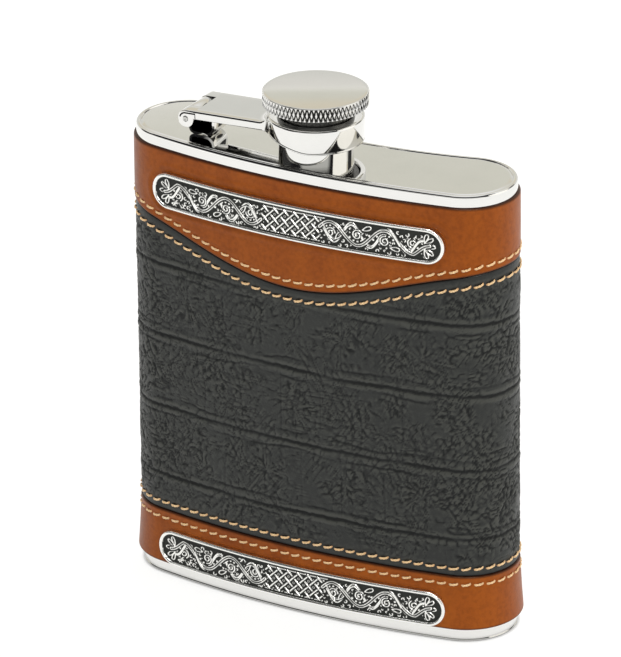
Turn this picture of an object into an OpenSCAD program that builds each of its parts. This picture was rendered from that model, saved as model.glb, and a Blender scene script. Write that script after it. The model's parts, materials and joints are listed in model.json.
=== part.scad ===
// Leather-wrapped steel hip flask with a hinged captive screw cap.
// Millimetres. +Z is up, the convex front faces -Y and the hollowed back faces +Y.
// The origin is on the base, straight below the axis of the neck.

/* [Flask body] */
// Height of the flat top plate above the base
body_h = 106.8; // [95:0.1:125]
// Width across the rims, end to end
body_w = 93; // [88:0.5:100]
// Thickness between the front and the back at the middle
body_t = 21.6; // [19:0.1:24]
// Radius of the convex front
front_r = 200; // [180:1:240]
// Radius of the hollowed back that rests on the hip
back_r = 121.5; // [110:0.5:140]
// Thickness of the steel sheet in the tube and the rims
sheet_t = 0.5; // [0.4:0.05:0.7]
// Thickness of the top and bottom plates
plate_t = 0.8; // [0.6:0.1:1.2]
// Height of the bright rim around the top
top_rim_h = 2.7; // [2:0.1:4]
// Height of the bright rim around the base
base_rim_h = 3.2; // [2:0.1:4]

/* [Leather] */
// How far the leather stands out from the rims
leather_proud = 0.45; // [0.2:0.05:0.8]
// How far the thicker bottom band stands out from the rims
foot_proud = 0.7; // [0.5:0.05:1]
// Height of the seam under the brown top band, on the sides and the back
seam_side_z = 89.1; // [85:0.1:91]
// How far the seam under the top band dips at the middle of the front
seam_dip = 10.4; // [0:0.1:14]
// Distance along the front from the middle to where the seam is level again
seam_half = 52; // [40:1:53]
// Height of the seam over the brown bottom band
foot_seam_z = 16; // [14.5:0.1:20]
// Gap of the butt joint down the middle of the back
butt_gap = 0.2; // [0.1:0.05:0.4]

/* [Stitching] */
// Width of a row of thread
thread_w = 0.7; // [0.4:0.05:1]
// How far a row of thread stands out from the leather
thread_proud = 0.3; // [0.15:0.05:0.5]
// Distance of the upper row above the edge of the brown top band
brown_row = 1.8; // [1.2:0.1:3]
// Distance of the row below that edge, on the black panel
black_row = 2.6; // [1.2:0.1:4]
// Distance of the rows above and below the bottom seam
foot_row = 1.9; // [1.2:0.1:2.2]
// Distance of the two upright rows from the butt joint on the back
back_row = 2.4; // [1.5:0.1:4]

/* [Badges] */
// Length of each badge, measured straight across
badge_w = 73.5; // [50:0.5:78]
// Height of each badge
badge_h = 8.4; // [6:0.1:8.6]
// Thickness of each badge
badge_t = 1.2; // [0.8:0.1:1.5]
// Height of the middle of the upper badge
upper_badge_z = 94.8; // [94:0.1:97]
// Height of the middle of the lower badge
lower_badge_z = 7.7; // [7.6:0.1:8.5]

/* [Neck and cap] */
// Outer radius of the plain part of the neck
neck_r = 8.3; // [7.8:0.1:8.8]
// Radius of the mouth
mouth_r = 5.6; // [5:0.1:5.8]
// Pitch of the cap's thread
pitch = 1.2; // [1:0.1:1.4]
// Outer radius of the collar at the end of the arm
collar_r = 10.8; // [10.6:0.1:11.4]
// Outer radius of the knurled knob
knob_r = 11.75; // [11.2:0.05:13]
// Thickness of the knurled knob
knob_h = 3.4; // [3:0.1:5]
// Radius of the stem that turns in the collar
stem_r = 8; // [7.9:0.05:8.1]

/* [Hinge and arm] */
// Distance of the hinge pin from the axis of the neck
hinge_x = 29.4; // [28.4:0.1:31]
// Height of the hinge pin above the top plate
hinge_h = 4.85; // [4.7:0.05:5.2]
// Radius of the hinge pin
pin_r = 0.65; // [0.5:0.05:0.8]
// Radius of the ears at the end of the arm, and height of its top above the pin
ear_r = 2; // [1.9:0.05:2.1]
// Depth of the arm's folded sides
arm_side_h = 1.85; // [1.6:0.05:1.95]
// Half the width of the arm
arm_half_w = 6.45; // [6:0.05:6.8]
// Rise of the arm towards the collar, in degrees
arm_tilt = 2.5; // [0:0.1:3]
// Half the width of the notch that clears the knuckle
notch_half_w = 3.1; // [2.6:0.1:4]
// Thickness of the arm's sheet
arm_t = 0.6; // [0.5:0.05:0.7]

/* [Hidden] */
$fn = 96;

// Points along each stretch of the outline
front_n = 16;
back_n = 14;
end_n = 20;
// Points along the curved seam on the front
seam_n = 36;
// Larger than the whole object, for cutting tools
far = 60;

// The two big arcs and the round ends that are tangent to both
front_cy = front_r - body_t / 2;
back_cy = body_t / 2 + back_r;
function end_x(r) = body_w / 2 - r;
function end_gap(r) = front_cy - sqrt(pow(front_r - r, 2) - pow(end_x(r), 2))
    - back_cy + sqrt(pow(back_r + r, 2) - pow(end_x(r), 2));
function solve_end(low, high, n) = let (mid = (low + high) / 2)
    n == 0 ? mid : end_gap(mid) > 0 ? solve_end(low, mid, n - 1) : solve_end(mid, high, n - 1);
end_r = solve_end(5, 20, 40);
end_cx = end_x(end_r);
end_cy = front_cy - sqrt(pow(front_r - end_r, 2) - pow(end_cx, 2));
front_a = atan2(end_cx, front_cy - end_cy);
back_a = atan2(end_cx, back_cy - end_cy);

// The kidney-shaped outline, grown outwards by off
function arc_point(cx, cy, r, a) = [cx + r * sin(a), cy - r * cos(a)];
function outline(off) = concat(
    [for (i = [0:front_n]) arc_point(0, front_cy, front_r + off, front_a * (2 * i / front_n - 1))],
    [for (i = [1:end_n - 1])
        arc_point(end_cx, end_cy, end_r + off, front_a + (180 + back_a - front_a) * i / end_n)],
    [for (i = [0:back_n]) arc_point(0, back_cy, back_r - off, back_a * (1 - 2 * i / back_n))],
    [for (i = [1:end_n - 1])
        arc_point(-end_cx, end_cy, end_r + off,
            180 - back_a + (180 + back_a - front_a) * i / end_n)]);

// The seam under the top band: a shallow dip across the front, level elsewhere
deg = 180 / PI;
arc_s = front_r * front_a / deg;
end_s = arc_s + end_r * (90 - front_a) / deg;
function seam_x(s) = abs(s) < arc_s ? front_r * sin(s / front_r * deg)
    : sign(s) * (end_cx + end_r * sin(front_a + (abs(s) - arc_s) / end_r * deg));
function seam_z(s) = seam_side_z - seam_dip * (1 + cos(180 * min(1, abs(s) / seam_half))) / 2;
function seam_line(dz) = [for (i = [-seam_n:2:seam_n]) let (s = end_s * i / seam_n)
    [seam_x(s), seam_z(s) + dz]];

// Sheets and leather
tube_off = -sheet_t;
plate_z = body_h - plate_t;
leather_top_z = body_h - top_rim_h;

// Neck, cap and collar, from the top plate upwards
collar_bottom = body_h + 3.8;
collar_top = body_h + 9.5;
collar_roof = 0.8;
collar_wall = 1.1;
collar_round = 0.8;
collar_rise = 10.4;
rise_x = 3;
neck_step = body_h + 4.1;
lip_z = body_h + 6.6;
thread_crest_r = mouth_r + 1;
thread_root_r = thread_crest_r - 0.35;
spigot_r = mouth_r + 0.8;
gap = 0.3;
seal_gap = 0.05;
seal_t = 0.8;
stem_bottom = collar_bottom + 0.6;
seal_z = lip_z + seal_gap;
flange_r = collar_r - collar_wall - 2 * gap + 0.2;
flange_top = lip_z;
socket_r = thread_crest_r + 0.6;
washer_t = 0.5;
knob_bottom = body_h + 11.8;
knob_top = knob_bottom + knob_h;
knob_skin = 1;
turn_play = 0.05;

// Hinge
pin_z = body_h + hinge_h;
knuckle_r = 1.9;
notch_l = 2.4;
bracket_half_w = notch_half_w - 0.2;
loop_t = 0.6;
loop_r = 1.8;
// Centres of two opposite corners of the loop, from the point on the top plate straight under the pin
loop_from = [0.5, loop_r];
loop_to = [3.5, hinge_h - 0.55];

module ring_wall(z0, z1, off_in, off_out)
    translate([0, 0, z0]) linear_extrude(z1 - z0) difference() {
        polygon(outline(off_out));
        polygon(outline(off_in));
    }

module slab(z0, z1, off)
    translate([0, 0, z0]) linear_extrude(z1 - z0) polygon(outline(off));

// Everything above the seam of the top band, raised by dz
module above_seam(dz) {
    translate([0, end_cy, 0]) rotate([90, 0, 0]) linear_extrude(far)
        polygon(concat([[-far, seam_side_z + dz]], seam_line(dz),
            [[far, seam_side_z + dz], [far, body_h + far], [-far, body_h + far]]));
    translate([-far, end_cy, seam_side_z + dz]) cube([2 * far, far, body_h]);
}

// The butt joint down the middle of the back
module back_slot(half_w)
    translate([-half_w, 0, 0]) cube([2 * half_w, far, body_h]);

// A row of thread that follows the curved seam, dz above it
module curved_row(dz) difference() {
    intersection() {
        ring_wall(seam_side_z - seam_dip - 5, seam_side_z + 5,
            leather_proud, leather_proud + thread_proud);
        above_seam(dz - thread_w / 2);
    }
    above_seam(dz + thread_w / 2);
    back_slot(back_row + thread_w);
}

// A level row of thread at height z
module level_row(z, off) difference() {
    ring_wall(z - thread_w / 2, z + thread_w / 2, off, off + thread_proud);
    back_slot(back_row + thread_w);
}

module body_tube() color("silver")
    ring_wall(plate_t, plate_z, tube_off - sheet_t, tube_off);

module top_plate() color("gainsboro") {
    difference() {
        slab(plate_z, body_h, 0);
        translate([0, 0, plate_z - 1]) cylinder(r = spigot_r + turn_play, h = plate_t + 2);
    }
    ring_wall(leather_top_z, plate_z, tube_off, 0);
}

module bottom_plate() color("gainsboro") {
    slab(0, plate_t, 0);
    ring_wall(plate_t, base_rim_h, tube_off, 0);
}

// Rings stand in for the turns of the thread
module neck() color("silver") rotate_extrude() {
    polygon(concat(
        [[mouth_r, plate_z - 1], [spigot_r, plate_z - 1], [spigot_r, body_h], [neck_r, body_h],
            [neck_r, neck_step - 0.3], [neck_r - 0.3, neck_step], [thread_root_r, neck_step]],
        [for (i = [0:1], p = [[0.3, 0], [0.5, 1], [0.8, 1], [1, 0]])
            [p[1] > 0 ? thread_crest_r : thread_root_r, neck_step + (i + p[0]) * 0.9]],
        [[thread_root_r, lip_z - 0.2], [thread_root_r - 0.2, lip_z], [mouth_r, lip_z]]));
}

// A strip bent into a loop, spot-welded to the plate, with a knuckle rolled around the pin
module bracket_loop(r) translate([-hinge_x, body_h]) {
    for (x = [loop_from[0], loop_to[0]], z = [loop_from[1], loop_to[1]]) translate([x, z]) circle(r = r);
    translate(loop_from - [r, 0]) square(loop_to - loop_from + [2 * r, 0]);
    translate(loop_from - [0, r]) square(loop_to - loop_from + [0, 2 * r]);
}

module hinge_bracket() color("dimgray") difference() {
    translate([0, bracket_half_w, 0]) rotate([90, 0, 0]) linear_extrude(2 * bracket_half_w) {
        translate([-hinge_x, pin_z]) circle(r = knuckle_r);
        difference() {
            bracket_loop(loop_r);
            bracket_loop(loop_r - loop_t);
        }
    }
    translate([-hinge_x, far / 2, pin_z]) rotate([90, 0, 0]) cylinder(r = pin_r + turn_play, h = far);
}

module hinge_pin() color("lightgray") {
    translate([-hinge_x, arm_half_w + 0.15, pin_z]) rotate([90, 0, 0])
        cylinder(r = pin_r, h = 2 * arm_half_w + 0.3);
}

module arm_ear(side) translate([0, side * (arm_half_w - arm_t / 2) + arm_t / 2, 0])
    rotate([90, 0, 0]) linear_extrude(arm_t) difference() {
        circle(r = ear_r);
        circle(r = pin_r);
    }

// The folded channel from the pin to the collar, before it is tilted
module arm_channel() difference() {
    translate([-ear_r, -arm_half_w, ear_r - arm_side_h])
        cube([ear_r + hinge_x - collar_r + 3, 2 * arm_half_w, arm_side_h]);
    translate([-far, -arm_half_w + arm_t, -far]) cube([2 * far, 2 * (arm_half_w - arm_t), far + ear_r - arm_t]);
    translate([-far, -notch_half_w, 0]) cube([far + notch_l, 2 * notch_half_w, far]);
    // Round off the end over the ears
    difference() {
        translate([-far, -far / 2, 0]) cube([far, far, far]);
        translate([0, far, 0]) rotate([90, 0, 0]) cylinder(r = ear_r, h = 2 * far);
    }
}

// Collar that holds the cap captive, its lower edge rising towards the arm
module collar() difference() {
    rotate_extrude() polygon([[collar_r - collar_wall, collar_bottom],
        [collar_r - collar_round, collar_bottom], [collar_r, collar_bottom + collar_round],
        [collar_r, collar_top - 0.3], [collar_r - 0.3, collar_top],
        [stem_r + gap, collar_top], [stem_r + gap, collar_top - collar_roof],
        [collar_r - collar_wall, collar_top - collar_roof]]);
    translate([rise_x, 0, collar_bottom]) rotate([0, collar_rise, 0])
        translate([-far, -far / 2, -far]) cube([far, far, far]);
}

module lid_arm() color("whitesmoke") difference() {
    union() {
        collar();
        translate([-hinge_x, 0, pin_z]) rotate([0, -arm_tilt, 0]) {
            arm_channel();
            for (side = [-1, 1]) arm_ear(side);
        }
    }
    translate([0, 0, body_h]) cylinder(r = collar_r - collar_wall, h = collar_top - collar_roof - body_h);
}

// Knurled knob pressed on to the stem
module cap_knob() color("ivory") rotate_extrude() polygon([
    [0, knob_top], [knob_r - 0.3, knob_top], [knob_r, knob_top - 0.3],
    [knob_r, knob_bottom + 0.3], [knob_r - 0.3, knob_bottom], [stem_r, knob_bottom],
    [stem_r, knob_top - knob_skin], [0, knob_top - knob_skin]]);

// Threaded socket with a flange below the collar's roof; rings stand in for the thread
module cap_stem() color("silver") rotate_extrude() polygon([
    [socket_r, stem_bottom], [flange_r, stem_bottom], [flange_r, flange_top],
    [stem_r, flange_top], [stem_r, knob_top - knob_skin], [stem_r - 0.8, knob_top - knob_skin],
    [stem_r - 0.8, seal_z + seal_t + 1], [0, seal_z + seal_t + 1], [0, seal_z + seal_t],
    [socket_r, seal_z + seal_t]]);

module cap_washer() color("linen") rotate_extrude()
    translate([stem_r + gap, flange_top])
        square([collar_r - collar_wall - stem_r - 2 * gap, washer_t]);

module cap_seal() color("white")
    translate([0, 0, seal_z]) cylinder(r = socket_r - 0.1, h = seal_t);

module leather_top_band() color("saddlebrown") difference() {
    intersection() {
        ring_wall(seam_side_z - seam_dip - 5, leather_top_z, tube_off, leather_proud);
        above_seam(0);
    }
    back_slot(butt_gap / 2);
}

module leather_mid_panel() color("black") difference() {
    ring_wall(foot_seam_z, seam_side_z + 1, tube_off, leather_proud);
    above_seam(0);
    back_slot(butt_gap / 2);
}

module leather_bottom_band() color("saddlebrown") difference() {
    ring_wall(base_rim_h, foot_seam_z, tube_off, foot_proud);
    back_slot(butt_gap / 2);
}

module thread_top_brown() color("burlywood") curved_row(brown_row);

module thread_top_black() color("burlywood") curved_row(-black_row);

module thread_bottom_black() color("burlywood")
    level_row(foot_seam_z + foot_row, leather_proud);

module thread_bottom_brown() color("burlywood")
    level_row(foot_seam_z - foot_row, foot_proud);

// Two upright rows, one on each side of the butt joint
module thread_back_seam() color("burlywood")
    for (side = [-1, 1]) intersection() {
        ring_wall(foot_seam_z + 2 * foot_row, seam_side_z - 2 * foot_row,
            leather_proud, leather_proud + thread_proud);
        translate([side * back_row - thread_w / 2, 0, 0]) cube([thread_w, far, body_h]);
    }

// A round-ended plate bent to the front, off_in away from the rims
module badge(z, off_in) intersection() {
    translate([0, front_cy, 0]) difference() {
        cylinder(r = front_r + off_in + badge_t, h = body_h, $fn = 360);
        translate([0, 0, -1]) cylinder(r = front_r + off_in, h = body_h + 2, $fn = 360);
    }
    translate([0, 0, z]) rotate([90, 0, 0]) linear_extrude(far) {
        square([badge_w - badge_h, badge_h], center = true);
        for (side = [-1, 1]) translate([side * (badge_w - badge_h) / 2, 0]) circle(d = badge_h);
    }
}

module upper_badge() color("darkgray") badge(upper_badge_z, leather_proud + 0.02);

module lower_badge() color("darkgray") badge(lower_badge_z, foot_proud + 0.02);

body_tube();
top_plate();
bottom_plate();
neck();
hinge_bracket();
hinge_pin();
lid_arm();
cap_knob();
cap_stem();
cap_washer();
cap_seal();
leather_top_band();
leather_mid_panel();
leather_bottom_band();
thread_top_brown();
thread_top_black();
thread_bottom_black();
thread_bottom_brown();
thread_back_seam();
upper_badge();
lower_badge();
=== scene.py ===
"""Looks of the leather-wrapped hip flask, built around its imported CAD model. Metres, +Z up, front at -Y."""

import json
import math

import bmesh
import bpy
import numpy as np
from mathutils import Matrix, Vector

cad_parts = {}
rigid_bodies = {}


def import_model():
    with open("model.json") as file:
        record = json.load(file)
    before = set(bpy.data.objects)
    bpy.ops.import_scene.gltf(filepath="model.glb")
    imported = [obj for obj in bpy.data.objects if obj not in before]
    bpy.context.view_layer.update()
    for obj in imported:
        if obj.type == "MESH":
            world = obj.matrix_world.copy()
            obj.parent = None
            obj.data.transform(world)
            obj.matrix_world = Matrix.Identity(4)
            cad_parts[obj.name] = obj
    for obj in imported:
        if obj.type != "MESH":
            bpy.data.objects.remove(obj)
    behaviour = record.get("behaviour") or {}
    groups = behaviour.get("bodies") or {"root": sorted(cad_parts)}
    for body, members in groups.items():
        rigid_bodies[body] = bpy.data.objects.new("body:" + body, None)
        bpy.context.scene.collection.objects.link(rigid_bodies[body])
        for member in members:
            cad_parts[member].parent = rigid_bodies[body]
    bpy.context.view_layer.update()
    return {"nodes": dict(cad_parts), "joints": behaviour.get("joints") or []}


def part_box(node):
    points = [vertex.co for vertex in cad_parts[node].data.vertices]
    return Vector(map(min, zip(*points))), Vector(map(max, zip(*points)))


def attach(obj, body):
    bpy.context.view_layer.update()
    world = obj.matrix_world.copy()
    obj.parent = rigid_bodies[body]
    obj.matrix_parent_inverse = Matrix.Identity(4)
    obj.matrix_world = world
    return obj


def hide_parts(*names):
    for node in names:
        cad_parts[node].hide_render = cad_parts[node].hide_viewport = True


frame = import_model()

MM = 0.001
rng = np.random.default_rng(7)

# ---------------------------------------------------------------- sizes, from the frame and the design
rim_lo, rim_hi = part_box("top_plate")
TOP_Z = rim_hi.z
LEATHER_TOP_Z = rim_lo.z
LEATHER_LOW_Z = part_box("bottom_plate")[1].z
HALF_W = rim_hi.x
HALF_T = -rim_lo.y
FRONT_R = 200 * MM
BACK_R = 121.5 * MM
SHEET_T = 0.5 * MM
LEATHER_PROUD = 0.45 * MM
PANEL_LOW_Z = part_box("leather_mid_panel")[0].z
SEAM_SIDE_Z = 89.1 * MM
SEAM_DIP = 10.4 * MM
SEAM_HALF = 52 * MM

# The kidney outline: a convex front arc, round ends and a hollow back arc, all tangent
front_cy = FRONT_R - HALF_T
back_cy = HALF_T + BACK_R


def end_gap(r):
    x = HALF_W - r
    return (front_cy - math.sqrt((FRONT_R - r) ** 2 - x * x)
            - back_cy + math.sqrt((BACK_R + r) ** 2 - x * x))


def solve_end():
    low, high = 5 * MM, 20 * MM
    for _ in range(60):
        mid = (low + high) / 2
        low, high = (low, mid) if end_gap(mid) > 0 else (mid, high)
    return (low + high) / 2


END_R = solve_end()
end_cx = HALF_W - END_R
end_cy = front_cy - math.sqrt((FRONT_R - END_R) ** 2 - end_cx ** 2)
front_a = math.atan2(end_cx, front_cy - end_cy)
back_a = math.atan2(end_cx, back_cy - end_cy)
S_FRONT = FRONT_R * front_a
S_END = S_FRONT + END_R * (math.pi + back_a - front_a)
S_HALF = S_END + BACK_R * back_a


def rim(s):
    """Points and outward normals of the rim at arc lengths s, from 0 at the middle of the front to +X."""
    s = np.asarray(s, float)
    a = np.abs(s)
    side = np.where(s < 0, -1.0, 1.0)
    t1 = a / FRONT_R
    t2 = front_a + (a - S_FRONT) / END_R
    t3 = back_a - (a - S_END) / BACK_R
    on_front, on_end = a <= S_FRONT, a <= S_END
    nx = np.where(on_front, np.sin(t1), np.where(on_end, np.sin(t2), -np.sin(t3)))
    ny = np.where(on_front, -np.cos(t1), np.where(on_end, -np.cos(t2), np.cos(t3)))
    x = np.where(on_front, FRONT_R * np.sin(t1),
                 np.where(on_end, end_cx + END_R * np.sin(t2), BACK_R * np.sin(t3)))
    y = np.where(on_front, front_cy - FRONT_R * np.cos(t1),
                 np.where(on_end, end_cy - END_R * np.cos(t2), back_cy - BACK_R * np.cos(t3)))
    return np.stack([x * side, y], -1), np.stack([nx * side, ny], -1)


def seam_z(s):
    return SEAM_SIDE_Z - SEAM_DIP * (1 + np.cos(math.pi * np.minimum(1, np.abs(s) / SEAM_HALF))) / 2


# ---------------------------------------------------------------- mesh helpers
def linked(name, mesh):
    """A new object in the scene that holds the mesh."""
    obj = bpy.data.objects.new(name, mesh)
    bpy.context.scene.collection.objects.link(obj)
    return obj


def from_bmesh(name, bm):
    mesh = bpy.data.meshes.new(name)
    bm.to_mesh(mesh)
    bm.free()
    return linked(name, mesh)


def mesh_object(name, verts, faces):
    """A smooth-shaded object from arrays of corners and of corner numbers."""
    mesh = bpy.data.meshes.new(name)
    mesh.from_pydata([tuple(v) for v in np.asarray(verts, float)], [], [tuple(map(int, f)) for f in faces])
    mesh.update()
    mesh.polygons.foreach_set("use_smooth", [True] * len(mesh.polygons))
    return linked(name, mesh)


def grid_faces(rows, cols, wrap_rows=False, wrap_cols=False):
    """The quads of a grid of points, as a list of corner numbers."""
    i = np.arange(rows if wrap_rows else rows - 1)
    j = np.arange(cols if wrap_cols else cols - 1)
    i, j = np.meshgrid(i, j, indexing="ij")
    i2, j2 = (i + 1) % rows, (j + 1) % cols
    quads = np.stack([i * cols + j, i2 * cols + j, i2 * cols + j2, i * cols + j2], -1)
    return [tuple(f) for f in quads.reshape(-1, 4)]


def edit_mesh(obj, work):
    """Runs work on the object's mesh, opened as a bmesh."""
    bm = bmesh.new()
    bm.from_mesh(obj.data)
    work(bm)
    bm.to_mesh(obj.data)
    bm.free()
    return obj


def outward(obj):
    """Turns every face normal outwards."""
    return edit_mesh(obj, lambda bm: bmesh.ops.recalc_face_normals(bm, faces=bm.faces))


def smooth_by_angle(obj, degrees):
    """Smooth shading that breaks at edges sharper than the angle."""
    def mark(bm):
        for edge in bm.edges:
            edge.smooth = len(edge.link_faces) == 2 and edge.calc_face_angle(0) < math.radians(degrees)

    obj.data.polygons.foreach_set("use_smooth", [True] * len(obj.data.polygons))
    return edit_mesh(obj, mark)


def arc(centre, r, start, end, n=7):
    """Points of an arc between two angles in degrees."""
    t = np.radians(np.linspace(start, end, n))
    return [(centre[0] + r * math.cos(a), centre[1] + r * math.sin(a)) for a in t]


def round_angles(n):
    """n even angles round a full turn."""
    return np.arange(n) * 2 * math.pi / n


def fillet(points, radii, steps=6):
    """The closed outline through points with each corner rounded to its radius."""
    out = []
    n = len(points)
    radii = radii if hasattr(radii, "__len__") else [radii] * n
    for k in range(n):
        p, a, b = (np.array(points[i % n], float) for i in (k, k - 1, k + 1))
        r = radii[k]
        u, v = a - p, b - p
        lu, lv = np.linalg.norm(u), np.linalg.norm(v)
        u, v = u / lu, v / lv
        angle = math.acos(max(-1, min(1, float(u @ v))))
        if r <= 0 or angle > math.pi - 0.02:
            out.append(p)
            continue
        reach = min(r / math.tan(angle / 2), 0.49 * lu, 0.49 * lv)
        r = reach * math.tan(angle / 2)
        centre = p + (u + v) / np.linalg.norm(u + v) * r / math.sin(angle / 2)
        a0, a1 = (p + u * reach) - centre, (p + v * reach) - centre
        t0, t1 = math.atan2(a0[1], a0[0]), math.atan2(a1[1], a1[0])
        turn = (t1 - t0 + math.pi) % (2 * math.pi) - math.pi
        out += [centre + r * np.array([math.cos(t0 + turn * i / steps), math.sin(t0 + turn * i / steps)])
                for i in range(steps + 1)]
    return np.array(out)


def lathe(name, outline, segments=192):
    """Turns a closed (radius, z) outline about the Z axis."""
    r, z = np.asarray(outline, float).T
    t = round_angles(segments)[:, None]
    verts = np.stack([r * np.cos(t), r * np.sin(t), np.broadcast_to(z, (segments, len(z)))], -1)
    obj = mesh_object(name, verts.reshape(-1, 3), grid_faces(segments, len(z), True, True))
    edit_mesh(obj, lambda bm: bmesh.ops.remove_doubles(bm, verts=bm.verts, dist=1e-6))
    return outward(obj)


def plate(name, outline, holes, to_world, thickness, bevel):
    """A flat sheet cut to an outline with holes, its edges rounded. to_world maps (u, v, w) to the frame."""
    bm = bmesh.new()
    edges = []
    for loop in [outline, *holes]:
        verts = [bm.verts.new((p[0], p[1], -thickness / 2)) for p in loop]
        edges += [bm.edges.new((verts[i], verts[(i + 1) % len(verts)])) for i in range(len(verts))]
    bmesh.ops.triangle_fill(bm, use_beauty=True, use_dissolve=True, edges=edges)
    made = bmesh.ops.extrude_face_region(bm, geom=bm.faces[:])["geom"]
    upper = [g for g in made if isinstance(g, bmesh.types.BMVert)]
    bmesh.ops.translate(bm, vec=(0, 0, thickness), verts=upper)
    bmesh.ops.recalc_face_normals(bm, faces=bm.faces)
    obj = from_bmesh(name, bm)
    round_edges(obj, bevel)
    corners = [to_world(*v.co) for v in obj.data.vertices]
    obj.data.vertices.foreach_set("co", np.asarray(corners, np.float32).ravel())
    return outward(obj)


def round_edges(obj, width):
    """Bevels the object's sharp edges and applies the bevel to its mesh."""
    bevel = obj.modifiers.new("round", "BEVEL")
    bevel.width = width
    bevel.segments = 2
    bevel.limit_method = "ANGLE"
    bevel.angle_limit = math.radians(50)
    graph = bpy.context.evaluated_depsgraph_get()
    rounded = bpy.data.meshes.new_from_object(obj.evaluated_get(graph))
    obj.modifiers.clear()
    obj.data = rounded
    return smooth_by_angle(obj, 35)


def join(name, parts):
    """One object out of several."""
    bm = bmesh.new()
    for part in parts:
        bm.from_mesh(part.data)
        bpy.data.objects.remove(part)
    return from_bmesh(name, bm)


def store(obj, name, values):
    """Keeps one number per vertex, for the object's material to read."""
    layer = obj.data.attributes.new(name, "FLOAT", "POINT")
    layer.data.foreach_set("value", np.asarray(values, np.float32).ravel())


def piece(obj, body, slot, material, *replaced):
    """Hands a finished object to the frame, in place of the named CAD nodes."""
    obj.data.materials.clear()
    obj.data.materials.append(material)
    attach(obj, body)
    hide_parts(*replaced)
    return obj


# ---------------------------------------------------------------- smooth random fields, the same every run
def lattice(ix, iy, seed):
    h = (ix * 374761393 + iy * 668265263 + seed * 974634777) & 0xFFFFFFFF
    h = ((h ^ (h >> 13)) * 1274126177) & 0xFFFFFFFF
    return ((h ^ (h >> 16)) & 0xFFFF) / 65535.0


def noise(x, y, seed):
    """Smooth noise from 0 to 1, one cell per unit."""
    x, y = np.broadcast_arrays(np.asarray(x, float), np.asarray(y, float))
    ix, iy = np.floor(x).astype(np.int64), np.floor(y).astype(np.int64)
    fx, fy = x - ix, y - iy
    fx, fy = fx * fx * (3 - 2 * fx), fy * fy * (3 - 2 * fy)
    a, b = lattice(ix, iy, seed), lattice(ix + 1, iy, seed)
    c, d = lattice(ix, iy + 1, seed), lattice(ix + 1, iy + 1, seed)
    return (a * (1 - fx) + b * fx) * (1 - fy) + (c * (1 - fx) + d * fx) * fy


def fractal(x, y, seed, octaves=4):
    total = sum(noise(x * 2 ** k, y * 2 ** k, seed + 17 * k) / 2 ** k for k in range(octaves))
    return total / sum(1 / 2 ** k for k in range(octaves))


def ridges(x, y, seed, sharp=3.0):
    return (1 - np.abs(2 * noise(x, y, seed) - 1)) ** sharp


def bell(d, width):
    """1 at distance 0, falling off smoothly over the width."""
    return np.exp(-(d / width) ** 2)


# ---------------------------------------------------------------- materials
class Nodes:
    """A small builder for the node tree of a material or of the world."""

    def __init__(self, owner, space="Object"):
        owner.use_nodes = True
        self.owner = owner
        self.tree = owner.node_tree
        self.coords = self.add("ShaderNodeTexCoord").outputs[space]

    def put(self, socket, value):
        """Links an output to the socket, or sets the socket's own value."""
        if isinstance(value, bpy.types.NodeSocket):
            self.tree.links.new(value, socket)
        elif socket.type == "RGBA":
            socket.default_value = (*value, 1)
        else:
            socket.default_value = value

    def add(self, kind, inputs=None, **settings):
        node = self.tree.nodes.new(kind)
        for key, value in settings.items():
            setattr(node, key, value)
        for key, value in (inputs or {}).items():
            self.put(node.inputs[key], value)
        return node

    def noise(self, scale, detail=4.0, rough=0.55, stretch=(1, 1, 1)):
        place = self.add("ShaderNodeMapping", {"Vector": self.coords, "Scale": stretch}).outputs[0]
        sockets = {"Scale": scale, "Detail": detail, "Roughness": rough, "Vector": place}
        return self.add("ShaderNodeTexNoise", sockets).outputs["Fac"]

    def cell_edges(self, scale):
        sockets = {"Scale": scale, "Vector": self.coords}
        return self.add("ShaderNodeTexVoronoi", sockets, feature="DISTANCE_TO_EDGE").outputs["Distance"]

    def ramp(self, value, stops):
        """A ramp through (position, colour) or (position, grey) stops."""
        node = self.add("ShaderNodeValToRGB", {"Fac": value})
        while len(node.color_ramp.elements) < len(stops):
            node.color_ramp.elements.new(0.5)
        for element, (place, colour) in zip(node.color_ramp.elements, stops):
            element.position = place
            element.color = (*np.broadcast_to(colour, 3), 1)
        return node.outputs["Color"]

    def mix(self, factor, a, b):
        return self.add("ShaderNodeMix", {0: factor, 6: a, 7: b}, data_type="RGBA").outputs[2]

    def math(self, operation, a, b):
        return self.add("ShaderNodeMath", {0: a, 1: b}, operation=operation).outputs[0]

    def range(self, value, low, high):
        """Maps 0 to 1 onto low to high."""
        sockets = {"Value": value, "To Min": low, "To Max": high}
        return self.add("ShaderNodeMapRange", sockets).outputs["Result"]

    def attribute(self, name):
        return self.add("ShaderNodeAttribute", attribute_name=name).outputs["Fac"]

    def bump(self, height, strength, distance, under=None):
        sockets = {"Strength": strength, "Distance": distance, "Height": height}
        if under is not None:
            sockets["Normal"] = under
        return self.add("ShaderNodeBump", sockets).outputs["Normal"]

    def set(self, **sockets):
        for name, value in sockets.items():
            self.put(self.tree.nodes["Principled BSDF"].inputs[name.replace("_", " ")], value)
        return self.owner


def new_material(name):
    return Nodes(bpy.data.materials.new(name))


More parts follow.
